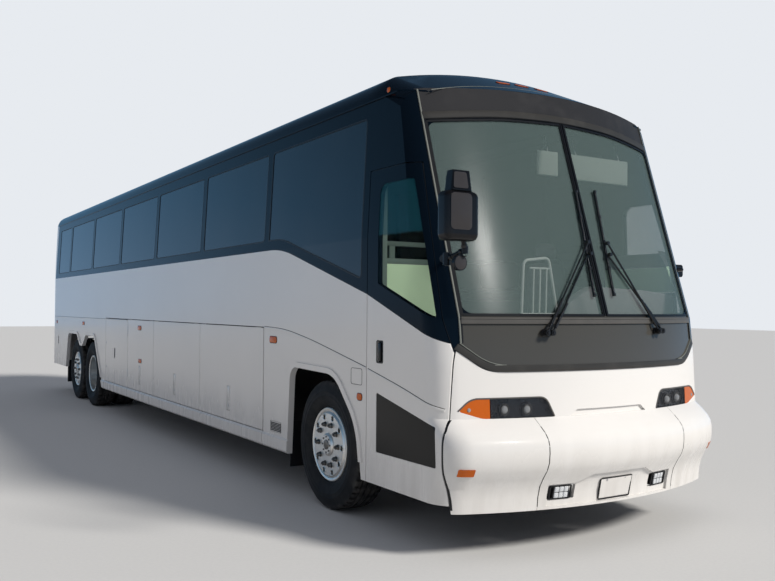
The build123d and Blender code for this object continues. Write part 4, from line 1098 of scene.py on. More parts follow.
def copy_of(node: str) -> Shape:
    """A shape holding a CAD node's mesh with its doubles merged.

    Args:
        node: The node's name.

    Returns:
        The shape.
    """
    shape = Shape()
    shape.mesh.from_mesh(bpy.data.objects[node].data)
    bmesh.ops.remove_doubles(shape.mesh, verts=shape.mesh.verts, dist=1e-5)
    return shape


# Sub-assemblies


@dataclass
class Coachwork:
    """Finishes of the CAD's own nodes."""

    nodes: dict[Finish, tuple[str, ...]] = field(default_factory=lambda: {
        Finishes.white: ("side_walls", "nose", "front_bumper", "wheel_skirts", "rockers", "rear_cap",
                         "engine_door", "entrance_door"),
        Finishes.black: ("window_bands", "roof", "door_frame", "windshield_frame"),
        Finishes.panel: ("cowl",),
        Finishes.visor: ("visor",),
        Finishes.side_glass: ("side_glass",),
        Finishes.windshield: ("windshield",),
        Finishes.door_glass: ("door_glass",),
        Finishes.gloss_black: ("mirrors",),
        Finishes.wiper: ("wipers",),
        Finishes.seal: ("mudflaps",),
        Finishes.chassis: ("underframe", "rails"),
        Finishes.axle: ("axles", "knuckle_left", "knuckle_right"),
        Finishes.engine: ("engine",),
        Finishes.floor: ("cabin_floor",),
        Finishes.lining: ("partition",),
        Finishes.dash: ("dashboard",),
    })
    curved: tuple[str, ...] = ("front_bumper", "nose", "cowl", "visor", "windshield_frame", "roof", "mirrors",
                               "windshield", "entrance_door", "door_frame")
    roof_rings: tuple[float, ...] = (-5.35, 6.5)
    curved_limit: float = 24
    rim_colour: Colour = (0.84, 0.80, 0.75)

    def dress(self, nodes: dict[str, bpy.types.Object]) -> None:
        """Give every CAD node its finish, and the curved panels a copy that shades smoothly.

        Args:
            nodes: The frame's objects by name.
        """
        finishes = {name: finish for finish, names in self.nodes.items() for name in names}
        finishes |= {name: Finishes.white for name in nodes if name.startswith(("bay_door", "service_door"))}
        for name, finish in finishes.items():
            self.assign(nodes[name], finish)
        for name in self.curved:
            self.smooth_copy(name, finishes[name])
        for name, node in nodes.items():
            if name.startswith("rim_"):
                low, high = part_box(name)
                self.assign(node, Alloy(f"wheel_alloy_{name[4:]}", "polished_rim", self.rim_colour,
                                        (low.y + high.y) / 2, AXLE_Z, 0.32, 0.25))

    def smooth_copy(self, name: str, finish: Finish) -> None:
        """Replace a curved node by a copy that shades smoothly.

        Args:
            name: The node's name.
            finish: Its finish.
        """
        panel = copy_of(name)
        if name == "roof":
            # Its long faces would take a slant from its ends without these rings.
            for y in self.roof_rings:
                panel.cut(1, y)
        body = DOOR if name in ("entrance_door", "door_frame") else BODY
        panel.finish(f"smooth_{name}", finish, body, [name], self.curved_limit, recalculate=False)

    def assign(self, node: bpy.types.Object, finish: Finish) -> None:
        """Put one finish in every material slot of a node.

        Args:
            node: The node.
            finish: Its finish.
        """
        if not node.material_slots:
            node.data.materials.append(finish.make())
        for slot in node.material_slots:
            slot.material = finish.make()


@dataclass
class Glazing:
    """Seals, bars, rails and trim round the glass, the cowl and the door."""

    windshield: tuple[Corner, ...] = (
        (0.012, 1.596), (1.122, 1.596, 0.022), (1.122, 2.976, 0.022), (0.560, 3.028, 1.5), (0.012, 3.046),
    )
    pillar_x: float = 1.137
    visor_foot: tuple[Corner, ...] = (
        (-1.136, 2.985), (-0.56, 3.042, 0.2), (0.0, 3.056, 0.2), (0.56, 3.042, 0.2), (1.136, 2.985),
    )
    cowl_edge: tuple[Corner, ...] = (
        (-1.168, 1.395), (-0.963, 1.246, 0.11), (0.963, 1.246, 0.11), (1.168, 1.395),
    )
    cowl_corner: tuple[Corner, ...] = ((1.144, 1.416), (0.955, 1.272, 0.11), (0.925, 1.272))
    bumper_joint_x: float = 0.655
    bumper_end: tuple[Corner, ...] = ((-6.437, 0.335), (-6.437, 0.85), (-6.414, 0.915))
    window_head_z: float = 3.08
    sill_z: float = 2.25
    drop_start_y: float = -3.94
    drop_slope: float = 0.42 / 1.53
    front_window_y: float = -5.385
    first_bar_y: float = -3.6
    last_bar_y: float = 6.375
    half_bar: float = 0.045
    pitch: float = 1.78
    seal: float = 0.012
    gutter_z: float = 3.20
    visor_joint: tuple[Corner, ...] = ((-1.06, -5.950), (-0.7, -5.920, 0.1), (0.35, -5.912))
    door_front: tuple[Corner, ...] = (
        (-6.43, 0.372), (-6.43, 0.85), (-6.406, 0.92), (-6.406, 1.35), (-6.031, 2.657),
    )
    door_rear_y: float = -5.47
    door_low_z: float = 0.372
    door_top_z: float = 2.660

    def windows(self) -> list[list[Corner]]:
        """Outlines of the side windows in (y, z), as in the CAD.

        Returns:
            The outlines, from the front window to the rear.
        """
        bar, sill, head = self.half_bar, self.sill_z, self.window_head_z
        front_sill = sill - self.drop_slope * (self.drop_start_y - self.front_window_y)
        first = [
            (self.first_bar_y - bar, sill), (self.drop_start_y, sill, 0.9),
            (self.front_window_y, front_sill, bar),
            (self.front_window_y, head, bar), (self.first_bar_y - bar, head, bar),
        ]
        bars = [*(self.first_bar_y + self.pitch * index for index in range(6)), self.last_bar_y]
        rest = [rectangle(near + bar, sill, far - bar, head, bar) for near, far in zip(bars, bars[1:])]
        return [first, *rest]

    def build(self) -> None:
        """Make the seals and the trim."""
        self.windshield_seal()
        self.window_seals()
        self.front_trim()
        self.roof_lines()
        self.door_seal()

    def windshield_seal(self) -> None:
        """A rubber bead round each pane of the windshield and along both sides of the centre bar."""
        whole = Shape()
        for sign in HALVES:
            bead = Shape().frame(flipped(self.windshield, sign), 0.016, 4).slice_up(0.08).thicken(0.005)
            whole.join(bead, FORM.on_front)
        for across in (-0.011, 0.011):
            whole.join(strip([(across, 1.60), (across, 3.05)], 0.010, -0.002, 0.010, FORM.on_front, 0.1, 1))
        whole.finish("windshield_seal", Finishes.seal)

    def window_seals(self) -> None:
        """A thin bead round each side window."""
        for side in Side:
            whole = Shape()
            for corners in self.windows():
                bead = Shape().frame(corners, self.seal, 6).slice_up(0.25, 1).lift(-0.004).thicken(0.0045)
                whole.join(bead, FORM.on_side(side))
            whole.finish(f"window_seals_{side.word}", Finishes.seal)

    def front_trim(self) -> None:
        """The cowl rail, the rubber lips, the edge trim painted pale as highlights, and the shadow gaps of
        the front.
        """
        front = FORM.on_front
        rail = strip([(-1.13, 1.565), (1.13, 1.565)], 0.044, -0.002, 0.014, front)
        rail.join(strip([(-1.13, 1.580), (1.13, 1.580)], 0.010, 0.0, 0.018, front))
        rail.soften(0.003).finish("cowl_rail", Finishes.trim)
        lips = strip(self.cowl_edge, 0.044, -0.002, 0.009, front)
        lips.join(strip(raised(self.visor_foot, 0.026), 0.052, -0.002, 0.011, front))
        lips.soften(0.003).finish("rubber_lips", Finishes.lip)
        # Pale strips on the pillar and cowl edges: painted highlights along those edges.
        bright = Shape()
        dark = strip(self.visor_foot, 0.012, -0.002, 0.006, front)
        for sign in HALVES:
            bright.join(strip(flipped(self.cowl_corner, sign), 0.0045, -0.002, 0.010, front, 0.03))
            edge, gap, joint = (sign * x for x in (self.pillar_x, self.pillar_x - 0.011, self.bumper_joint_x))
            bright.join(strip([(edge, 1.415), (edge, 3.21)], 0.008, -0.002, 0.009, front, 0.08, 1))
            dark.join(strip([(gap, 1.42), (gap, 2.98)], 0.012, -0.002, 0.006, front, 0.08, 1))
            dark.join(strip([(joint, 0.335), (joint, 0.868)], 0.006, -0.004, 0.0008, front, 0.02, 1))
        for side in Side:
            dark.join(strip(self.bumper_end, 0.011, -0.012, 0.0015, FORM.on_corner(side), 0.03, 1))
        bright.finish("pale_edge_trim", Finishes.bright)
        dark.finish("front_shadow_gaps", Finishes.seal)

    def roof_lines(self) -> None:
        """The drip rail along each side, and a pale line on the joint behind the visor that paints its
        highlight.
        """
        for side in Side:
            ends = [(-5.92, self.gutter_z), (6.60, self.gutter_z)]
            rail = strip(ends, 0.014, -0.003, 0.007, FORM.on_corner(side), 0.05)
            rail.soften(0.002).finish(f"drip_rail_{side.word}", Finishes.black)
        # A pale line on the visor's joint: a painted highlight.
        visor_line = strip(self.visor_joint, 0.005, -0.003, 0.001, FORM.on_brow)
        visor_line.finish("visor_joint_line", Finishes.bright)

    def door_seal(self) -> None:
        """Black rubber in the gap round the entrance door."""
        rear, top = self.door_rear_y, self.door_top_z
        whole = Shape()
        for path, step, axis in (
            (self.door_front, 0.04, 1),
            ([(rear, self.door_low_z), (rear, top)], 0.2, 1),
            ([(-6.02, top), (rear - 0.007, top)], 0.1, 0),
        ):
            whole.join(strip(path, 0.0045, -0.030, -0.006, FORM.on_corner(Side.RIGHT), step, axis))
        whole.finish("entrance_door_seal", Finishes.seal, DOOR)


@dataclass
class HeadLamps:
    """Head lamps with amber corners and twin projectors, and fog lamps."""

    split_x: float = 0.960
    joint: float = 0.002
    glass_lean: float = -0.35
    projectors: Profile = ((0.850, 0.974), (0.690, 0.972))
    bulb: tuple[float, float] = (1.095, 0.978)
    rim: tuple[Corner, ...] = ((0.500, 0.925), (0.562, 1.055, 0.05), (1.085, 1.052, 0.05), (1.168, 0.972))
    bezel_ring: Profile = (
        (0, 0.034), (-0.006, 0.038), (-0.008, 0.037), (-0.007, 0.034), (-0.002, 0.029), (0, 0.028),
    )
    lens_dome: Profile = (
        (0.002, 0.0), (0.002, 0.028), (-0.004, 0.026), (-0.009, 0.021), (-0.013, 0.012), (-0.014, 0.0),
    )
    bulb_dome: Profile = ((0.003, 0.0), (0.003, 0.015), (-0.003, 0.014), (-0.008, 0.008), (-0.009, 0.0))
    fog: tuple[float, float, float, float] = (0.392, 0.370, 0.566, 0.466)
    fog_lens: tuple[float, float, float, float] = (0.420, 0.378, 0.530, 0.458)
    fog_rows: int = 2
    fog_columns: int = 3

    def build(self) -> None:
        """Make lamps on both sides from the CAD's lamp blocks."""
        self.covers()
        self.lights()
        self.fogs()

    def kept(self, low_x: float, high_x: float) -> Shape:
        """A copy of the head lamp blocks between two distances from the middle, with its cuts filled.

        Args:
            low_x: The nearer distance.
            high_x: The farther distance.

        Returns:
            The shape.
        """
        shape = copy_of("front_lamps")
        mesh = shape.mesh
        fogs = [face for face in mesh.faces if face.calc_center_median().z < 0.6]
        bmesh.ops.delete(mesh, geom=fogs, context="FACES")
        for sign in HALVES:
            for limit, outward in ((low_x, -sign), (high_x, sign)):
                half = [item for item in (*mesh.verts, *mesh.edges, *mesh.faces) if self.on_half(item, sign)]
                cut = bmesh.ops.bisect_plane(
                    mesh, geom=half, dist=1e-6, plane_co=(sign * limit, 0, 0), plane_no=(outward, 0, 0),
                    clear_outer=True,
                )["geom_cut"]
                edges = [item for item in cut if isinstance(item, BMEdge)]
                if edges:
                    bmesh.ops.edgeloop_fill(mesh, edges=edges)
        return shape

    def on_half(self, item: BMVert | BMEdge | BMFace, sign: int) -> bool:
        """True where a vertex, edge or face lies on one half of the bus."""
        verts = [item] if isinstance(item, BMVert) else item.verts
        return all(vert.co.x * sign > 0 for vert in verts)

    def covers(self) -> None:
        """Amber corner lenses, clear covers, black housings and the line over each lamp."""
        amber = self.kept(self.split_x + self.joint, 1.4)
        amber.finish("amber_corner_lenses", Finishes.amber, replaces=["front_lamps"])
        for name, finish, wall, shown in (("headlamp_covers", Finishes.cover, 0.003, True),
                                          ("headlamp_housings", Finishes.gloss_black, 0.002, False)):
            shell = self.kept(0.3, self.split_x - self.joint)
            gone = [face for face in shell.mesh.faces if (face.normal.y < self.glass_lean) != shown]
            bmesh.ops.delete(shell.mesh, geom=gone, context="FACES")
            bmesh.ops.solidify(shell.mesh, geom=shell.mesh.faces, thickness=wall)
            shell.finish(name, finish)
        rims = Shape()
        for sign in HALVES:
            rims.join(strip(flipped(self.rim, sign), 0.009, -0.004, 0.003, FORM.on_front, 0.04))
        rims.finish("headlamp_rims", Finishes.trim)

    def lights(self) -> None:
        """Projector lenses in their bezels, with black barrels behind, and the bulbs in the corners."""
        bezels, lenses, barrels = Shape(), Shape(), Shape()
        for sign in HALVES:
            for across, z in self.projectors:
                x, y = sign * across, FORM.nose_y(across, z) + 0.020
                bezels.lathe(self.bezel_ring, (x, y, z), 32, LENGTHWAYS, closed=True)
                lenses.lathe(self.lens_dome, (x, y, z), 32, LENGTHWAYS)
                barrels.rod((x, y, z), (x, y + 0.05, z), 0.046, 28, 0.04)
            across, z = self.bulb
            lenses.lathe(self.bulb_dome, (sign * across, FORM.nose_y(across, z) + 0.004, z), 20, LENGTHWAYS)
        bezels.finish("projector_bezels", Finishes.lip)
        lenses.finish("projector_lenses", Finishes.glass_eye)
        barrels.finish("projector_barrels", Finishes.seal)

    def fogs(self) -> None:
        """Boxed fog lamps, each with rows of small bright lenses."""
        boxes, lenses = Shape(), Shape()
        near, low, far, high = self.fog
        middle_x, middle_z = (near + far) / 2, (low + high) / 2
        half_x, half_z = (far - near) / 2, (high - low) / 2
        lens_near, lens_low, lens_far, lens_high = self.fog_lens
        lens_x, lens_z = (lens_near + lens_far) / 2, (lens_low + lens_high) / 2
        block_x, block_z = (lens_far - lens_near) / 2 + 0.006, (lens_high - lens_low) / 2 + 0.006
        wide, tall = (lens_far - lens_near) / self.fog_columns, (lens_high - lens_low) / self.fog_rows
        for sign in HALVES:
            corners = rectangle(sign * near, low, sign * far, high, 0.012)
            boxes.join(Shape().frame(corners, 0.010, 3).lift(-0.018).thicken(0.006), FORM.on_front)
            back = Shape().pad(sign * middle_x, middle_z, half_x - 0.008, half_z - 0.006, -0.055, -0.050)
            back.pad(sign * lens_x, lens_z, block_x, block_z, -0.052, -0.014)
            boxes.join(back, FORM.on_front)
            for row in range(self.fog_rows):
                for column in range(self.fog_columns):
                    x, z = lens_near + (column + 0.5) * wide, lens_low + (row + 0.5) * tall
                    lens = Shape().pad(sign * x, z, wide / 2 - 0.002, tall / 2 - 0.002, -0.018, -0.005)
                    lenses.join(lens.soften(0.005, 3), FORM.on_front)
        boxes.finish("fog_lamp_boxes", Finishes.seal)
        lenses.finish("fog_lamp_lenses", Finishes.bulb)


@dataclass
class MarkerLamps:
    """Amber lamps on the sides, the bumper and the brow, and the red lamps of the rear.

    Each lamp is its place across and up the flat frame, half its height, and its width over its height.
    """

    side_rows: tuple[Corner, ...] = (
        (-3.784, 1.347, 0.033, 2.5), (-5.370, 0.975, 0.029, 1.4), (4.087, 1.345, 0.030, 3.0),
    )
    gutter_lamp: Corner = (-5.67, 3.235, 0.022, 1.0)
    rear_side_lamp: Corner = (6.40, 1.33, 0.03, 1.6)
    bay_rows: tuple[Corner, ...] = ((0.625, 1.347, 0.032, 2.8), (0.590, 0.902, 0.028, 2.8))
    brow_rows: tuple[Corner, ...] = (
        (-0.20, -5.700, 0.030, 2.2), (0.0, -5.690, 0.030, 2.2), (0.20, -5.700, 0.030, 2.2),
    )
    roof_row: tuple[float, ...] = (-1.0, -0.2, 0.0, 0.2, 1.0)
    bumper: tuple[float, float, float, float] = (1.140, 0.566, 1.232, 0.616)
    tail_x: float = 1.09
    tail_z: tuple[float, ...] = (1.05, 1.19, 1.33)
    tail_dome: Profile = (
        (-0.035, 0.0), (-0.035, 0.044), (-0.006, 0.044), (-0.002, 0.040), (-0.0005, 0.02), (-0.0005, 0.0),
    )
    tail_ring: Profile = ((-0.035, 0.045), (-0.035, 0.05), (-0.0005, 0.05), (-0.0005, 0.045))

    def build(self) -> None:
        """Make every small lamp."""
        amber, bezels, red = Shape(), Shape(), Shape()
        for side in Side:
            for row in self.side_rows:
                self.lamp(amber, bezels, row, FORM.on_side(side))
            self.lamp(amber, bezels, self.gutter_lamp, FORM.on_corner(side))
            self.lamp(red, bezels, self.rear_side_lamp, FORM.on_side(side))
            for z in self.tail_z:
                centre = (side.value * self.tail_x, FORM.rear_y, z)
                red.lathe(self.tail_dome, centre, 36, LENGTHWAYS)
                bezels.lathe(self.tail_ring, centre, 36, LENGTHWAYS, closed=True)
            near, low, far, high = self.bumper
            flush = Shape().sheet(rectangle(side.value * near, low, side.value * far, high, 0.006), 3)
            amber.join(flush.slice_up(0.012).thicken(0.004), FORM.on_front)
        for row in self.brow_rows:
            self.lamp(amber, bezels, row, FORM.on_brow)
        for across in self.roof_row:
            self.lamp(red, bezels, (across, 3.13, 0.018, 2.0), FORM.on_rear)
        amber.finish("amber_marker_lenses", Finishes.amber, replaces=["marker_lamps"])
        red.finish("red_lenses", Finishes.red)
        bezels.finish("marker_bezels", Finishes.seal)
        for side in Side:
            bay_amber, bay_bezels = Shape(), Shape()
            for row in self.bay_rows:
                self.lamp(bay_amber, bay_bezels, row, FORM.on_side(side))
            body = f"bay_door_{side.word}_rear"
            bay_amber.finish(f"bay_marker_lenses_{side.word}", Finishes.amber, body)
            bay_bezels.finish(f"bay_marker_bezels_{side.word}", Finishes.seal, body)

    def lamp(self, lenses: Shape, bezels: Shape, row: Corner, move: Rule) -> None:
        """Add one rounded lamp.

        Args:
            lenses: Takes the lens.
            bezels: Takes the bezel.
            row: The lamp, as the class says.
            move: The rule from the flat frame to the body.
        """
        across, up, half, stretch = row
        wide, tall = half * stretch * 0.95, half * 0.85
        lens = Shape().sheet(rectangle(across - wide, up - tall, across + wide, up + tall, half * 0.72), 5)
        lenses.join(lens.thicken(0.0055).soften(0.002, 2, 50), move)
        wide = half * stretch
        ring = Shape().frame(rectangle(across - wide, up - half, across + wide, up + half, half * 0.8), 0.009)
        bezels.join(ring.thicken(0.003), move)


@dataclass
class Fittings:
    """Latches, handles, hatches, plates, hinges and vents on the panels."""

    latch_y: dict[str, float] = field(default_factory=lambda: {
        "front": -2.680, "middle": -0.915, "rear": 0.600,
    })
    latch_z: float = 0.712
    pull_rows: tuple[tuple[str, float, float], ...] = (("service", 1.951, 0.945), ("rear", 6.230, 0.990))
    filler: tuple[float, float, float, float] = (-5.405, 1.062, -5.235, 1.188)
    vent: tuple[float, float, float, float] = (-3.97, 0.518, -3.75, 0.612)
    slats: int = 6
    hinge_rows: tuple[Corner, ...] = (
        (1.225, 1.285, 0.075), (1.225, 0.70, 0.060), (2.46, 1.08, 0.018), (2.46, 0.717, 0.018),
    )
    crease_ahead: tuple[Corner, ...] = (
        (-3.58, 1.464), (-4.03, 1.452, 0.2), (-4.537, 1.379, 0.2), (-5.031, 1.286, 0.2), (-5.462, 1.204),
    )
    crease_door: tuple[Corner, ...] = ((-5.490, 1.196), (-5.961, 1.094, 0.15), (-6.385, 0.986))
    crease_rear: tuple[Corner, ...] = ((1.24, 1.447), (6.60, 1.436))
    door_pull: tuple[float, float] = (-5.657, 1.326)
    plate_half: float = 0.155
    front_plate_z: tuple[float, float] = (0.333, 0.489)
    rear_plate_z: tuple[float, float] = (0.600, 0.750)

    def build(self) -> None:
        """Make the fittings of both sides, the front and the rear."""
        for side in Side:
            self.latches(side)
            self.hatches(side)
            self.hinges(side)
            self.creases(side)
        self.door_handle()
        self.plates()
        self.rear()

    def latches(self, side: Side) -> None:
        """Flush latches in the bay doors and black pulls in the service door and the rear panel.

        Args:
            side: The side that they are on.
        """
        for name, y in self.latch_y.items():
            body = f"bay_door_{side.word}_{name}"
            plate = Shape().pad(y, self.latch_z, 0.041, 0.121, -0.0115, -0.0015).soften(0.002)
            plate.join(Shape().pad(y, self.latch_z + 0.044, 0.030, 0.064, -0.002, 0.0025).soften(0.002))
            plate.place(FORM.on_side(side)).finish(f"latch_{side.word}_{name}", Finishes.white, body)
            lock_z = self.latch_z - 0.075
            back, face = (side.value * (FORM.half_width + reach) for reach in (-0.002, 0.002))
            lock = Shape().rod((back, y, lock_z), (face, y, lock_z), 0.012, 20).soften(0.001)
            lock.finish(f"latch_lock_{side.word}_{name}", Finishes.steel, body)
        for word, y, z in self.pull_rows:
            pull = Shape().pad(y, z, 0.027, 0.072, -0.0135, -0.010).pad(y, z, 0.012, 0.060, -0.011, -0.0005)
            body = f"service_door_{side.word}" if word == "service" else BODY
            pull.soften(0.002).place(FORM.on_side(side))
            pull.finish(f"pull_{side.word}_{word}", Finishes.seal, body)

    def hatches(self, side: Side) -> None:
        """The small filler hatch by the door and the slatted vent behind the front wheel.

        Args:
            side: The side that they are on.
        """
        lid = Shape().frame(rectangle(*self.filler, 0.02), 0.004, 4).thicken(0.0015)
        lid.place(FORM.on_side(side)).finish(f"filler_lid_line_{side.word}", Finishes.trim)
        vent = Shape().frame(rectangle(*self.vent), 0.008).thicken(0.004).place(FORM.on_side(side))
        near, low, far, _ = self.vent
        slats = Shape()
        for index in range(self.slats):
            slat_z = low + 0.009 + index * 0.013
            slats.brick((near + 0.005, slat_z, 0.0), (far - 0.005, slat_z + 0.008, 0.003))
        vent.join(slats, FORM.on_side(side)).finish(f"fender_vent_{side.word}", Finishes.seal)

    def hinges(self, side: Side) -> None:
        """Slim hinge leaves beside the service door and at the rear panel.

        Args:
            side: The side that they are on.
        """
        leaves = Shape()
        for y, z, half in self.hinge_rows:
            leaves.pad(y, z, 0.008, half, -0.001, 0.003)
        leaves.soften(0.0015).place(FORM.on_side(side)).finish(f"hinge_leaves_{side.word}", Finishes.steel)

    def creases(self, side: Side) -> None:
        """The body line from the rear over the wheels and down the front, a ridge under a dark line of
        painted shade.

        Args:
            side: The side that they are on.
        """
        door_body = DOOR if side is Side.RIGHT else BODY
        rows = (("ahead", self.crease_ahead, BODY), ("door", self.crease_door, door_body),
                ("rear", self.crease_rear, BODY))
        for word, path, body in rows:
            # The dark line is painted shade along the crease.
            line = strip(path, 0.005, -0.001, 0.0008, FORM.on_corner(side), 0.03)
            line.finish(f"crease_line_{word}_{side.word}", Finishes.trim, body)
            ridge = strip(raised(path, -0.012), 0.018, -0.001, 0.004, FORM.on_corner(side), 0.03)
            ridge.soften(0.003, 2, 50).finish(f"crease_ridge_{word}_{side.word}", Finishes.white, body)

    def door_handle(self) -> None:
        """The black pull of the entrance door, in its cup, with a raised ring round it."""
        y, z = self.door_pull
        pull = Shape().pad(y, z, 0.040, 0.076, -0.0215, -0.015).pad(y, z, 0.018, 0.066, -0.016, 0.0045)
        pull.soften(0.005, 3)
        edging = Shape().frame(rectangle(y - 0.047, z - 0.083, y + 0.047, z + 0.083, 0.014), 0.009, 4)
        pull.join(edging.thicken(0.002))
        pull.place(FORM.on_side(Side.RIGHT)).finish("entrance_door_pull", Finishes.gloss_black, DOOR)

    def plates(self) -> None:
        """Blank plates with frames and bolts at the front and the rear."""
        frames, blanks, bolts = Shape(), Shape(), Shape()
        half = self.plate_half
        rows = ((FORM.on_front, self.front_plate_z, -0.017), (FORM.on_rear, self.rear_plate_z, 0.0))
        for where, (low, high), back in rows:
            blank = Shape().sheet(rectangle(-half, low, half, high, 0.01), 3)
            blanks.join(blank.lift(back).thicken(0.003), where)
            edge = Shape().frame(rectangle(-half, low, half, high, 0.012), 0.010, 3)
            frames.join(edge.lift(back).thicken(0.006), where)
            for across in (-0.088, 0.088):
                bolt_z = high - 0.022
                bolt = Shape().rod((across, bolt_z, back + 0.002), (across, bolt_z, back + 0.006), 0.008, 12)
                bolts.join(bolt, where)
        frames.finish("plate_frames", Finishes.seal)
        blanks.finish("blank_plates", Finishes.white)
        bolts.finish("plate_bolts", Finishes.steel)

    def rear(self) -> None:
        """A black rub strip on the rear bumper, reflectors, and the engine door's latches."""
        where = FORM.on_rear
        rub = strip([(-1.05, 0.50), (1.05, 0.50)], 0.05, -0.001, 0.005, where, 0.3)
        rub.soften(0.002).finish("rear_rub_strip", Finishes.seal)
        low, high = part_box("engine_door")
        reflectors, latches = Shape(), Shape()
        for sign in HALVES:
            reflectors.join(strip([(sign * 1.05, 0.66), (sign * 1.13, 0.66)], 0.05, 0.0, 0.005, where))
            x, z = sign * high.x * 0.72, low.z + 0.10
            latch = Shape().pad(x, z, 0.05, 0.03, -0.001, 0.003).pad(x, z, 0.035, 0.014, 0.002, 0.0055)
            latches.join(latch.soften(0.0015), where)
        reflectors.soften(0.002).finish("rear_reflectors", Finishes.red)
        latches.finish("engine_door_latches", Finishes.seal, "engine_door")


@dataclass
class Mirrors:
    """Faces, seams, joints and glass of the mirrors."""

    head: Point = (-1.388, -6.722, 2.209)
    half: Point = (0.125, 0.065, 0.153)
    cap_top: float = 2.488
    cap_face: float = 0.0455
    cap_lean: float = 0.126
    small: Point = (1.42, -6.01, 1.98)
    round_place: Point = (-1.352, -6.690, 1.926)
    round_back: Profile = ((0.001, 0.0), (0.001, 0.044), (-0.002, 0.043), (-0.004, 0.036), (-0.004, 0.0))
    round_glass: Profile = ((-0.001, 0.0), (-0.001, 0.042), (0.001, 0.041), (0.003, 0.02), (0.0035, 0.0))
    arm: tuple[Point, ...] = (
        (-1.190, -6.330, 1.975), (-1.380, -6.595, 1.952), (-1.330, -6.715, 2.005), (-1.357, -6.722, 2.106),
    )
    bellows: Point = (-1.262, -6.398, 1.967)
    fold: Point = (0.012, 0.015, 0)

    def build(self) -> None:
        """Make the pieces of the big mirror and the glass of both."""
        self.faces()
        self.glass()
        self.joints()

    def faces(self) -> None:
        """The greyer pads on the front of the head and its cap, and the back of the round mirror."""
        x, y, z = self.head
        pads = Shape()
        pad = Shape().sheet(rectangle(x - 0.100, z - 0.088, x + 0.058, z + 0.135, 0.030), 6)
        pads.join(pad.lift(-0.001).thicken(0.003).soften(0.001, 2, 50), upright(y - self.half[1]))
        foot, top = z + self.half[2] + 0.014, self.cap_top - 0.012
        cap = Shape().sheet([(x - 0.068, foot, 0.012), (x + 0.044, foot, 0.012), (x + 0.036, top, 0.016),
                             (x - 0.056, top, 0.016)], 4)
        pads.join(cap.thicken(0.003),
                  lambda p: Vector((p.x, y - self.cap_face + (p.y - foot) * self.cap_lean - p.z, p.y)))
        pads.finish("mirror_front_pads", Finishes.shell_grey)
        disc = Shape()
        rx, ry, rz = self.round_place
        disc.lathe(self.round_back, (rx, ry - 0.013, rz), 32, LENGTHWAYS)
        disc.finish("round_mirror_back", Finishes.shell_grey)

    def glass(self) -> None:
        """Mirror glass in the backs of the heads, with bezels."""
        glass, bezels = Shape(), Shape()
        x, y, z = self.head
        sx, sy, sz = self.small
        rows = (
            (x, y + self.half[1], 0.088, z - 0.118, z + 0.118), (x, y + 0.046, 0.050, 2.385, 2.465),
            (sx, sy + 0.040, 0.066, sz - 0.036, sz + 0.036),
        )
        for across, back, half, low, high in rows:
            pane = Shape().sheet(rectangle(across - half, low, across + half, high, 0.02))
            glass.join(pane.thicken(-0.001), upright(back))
            half, low, high = half + 0.008, low - 0.008, high + 0.008
            bezel = Shape().frame(rectangle(across - half, low, across + half, high, 0.028), 0.010)
            bezels.join(bezel.thicken(-0.004), upright(back))
        rx, ry, rz = self.round_place
        glass.lathe(self.round_glass, (rx, ry + 0.013, rz), 32, LENGTHWAYS)
        glass.finish("mirror_glass", Finishes.mirror)
        bezels.finish("mirror_bezels", Finishes.seal)

    def joints(self) -> None:
        """Clamps, pins and the bellows of the big mirror's arm."""
        clamps = Shape()
        points = [Vector(point) for point in self.arm]
        for start, end in zip(points, points[1:]):
            reach = (end - start).normalized() * 0.008
            for share in (0.22, 0.78):
                centre = start.lerp(end, share)
                clamps.rod(centre - reach, centre + reach, 0.0205, 16)
        for centre in points[1:3]:
            for sign in HALVES:
                pin = centre + Vector((0, 0, sign * 0.036))
                clamps.rod(pin, pin + Vector((0, 0, sign * 0.007)), 0.013, 6)
        base, fold = Vector(self.bellows), Vector(self.fold)
        for index in range(4):
            clamps.rod(base + fold * (index - 2), base + fold * (index - 1.4), 0.026 - 0.003 * index, 16)
        clamps.soften(0.0015, 1).finish("mirror_arm_clamps", Finishes.wiper)


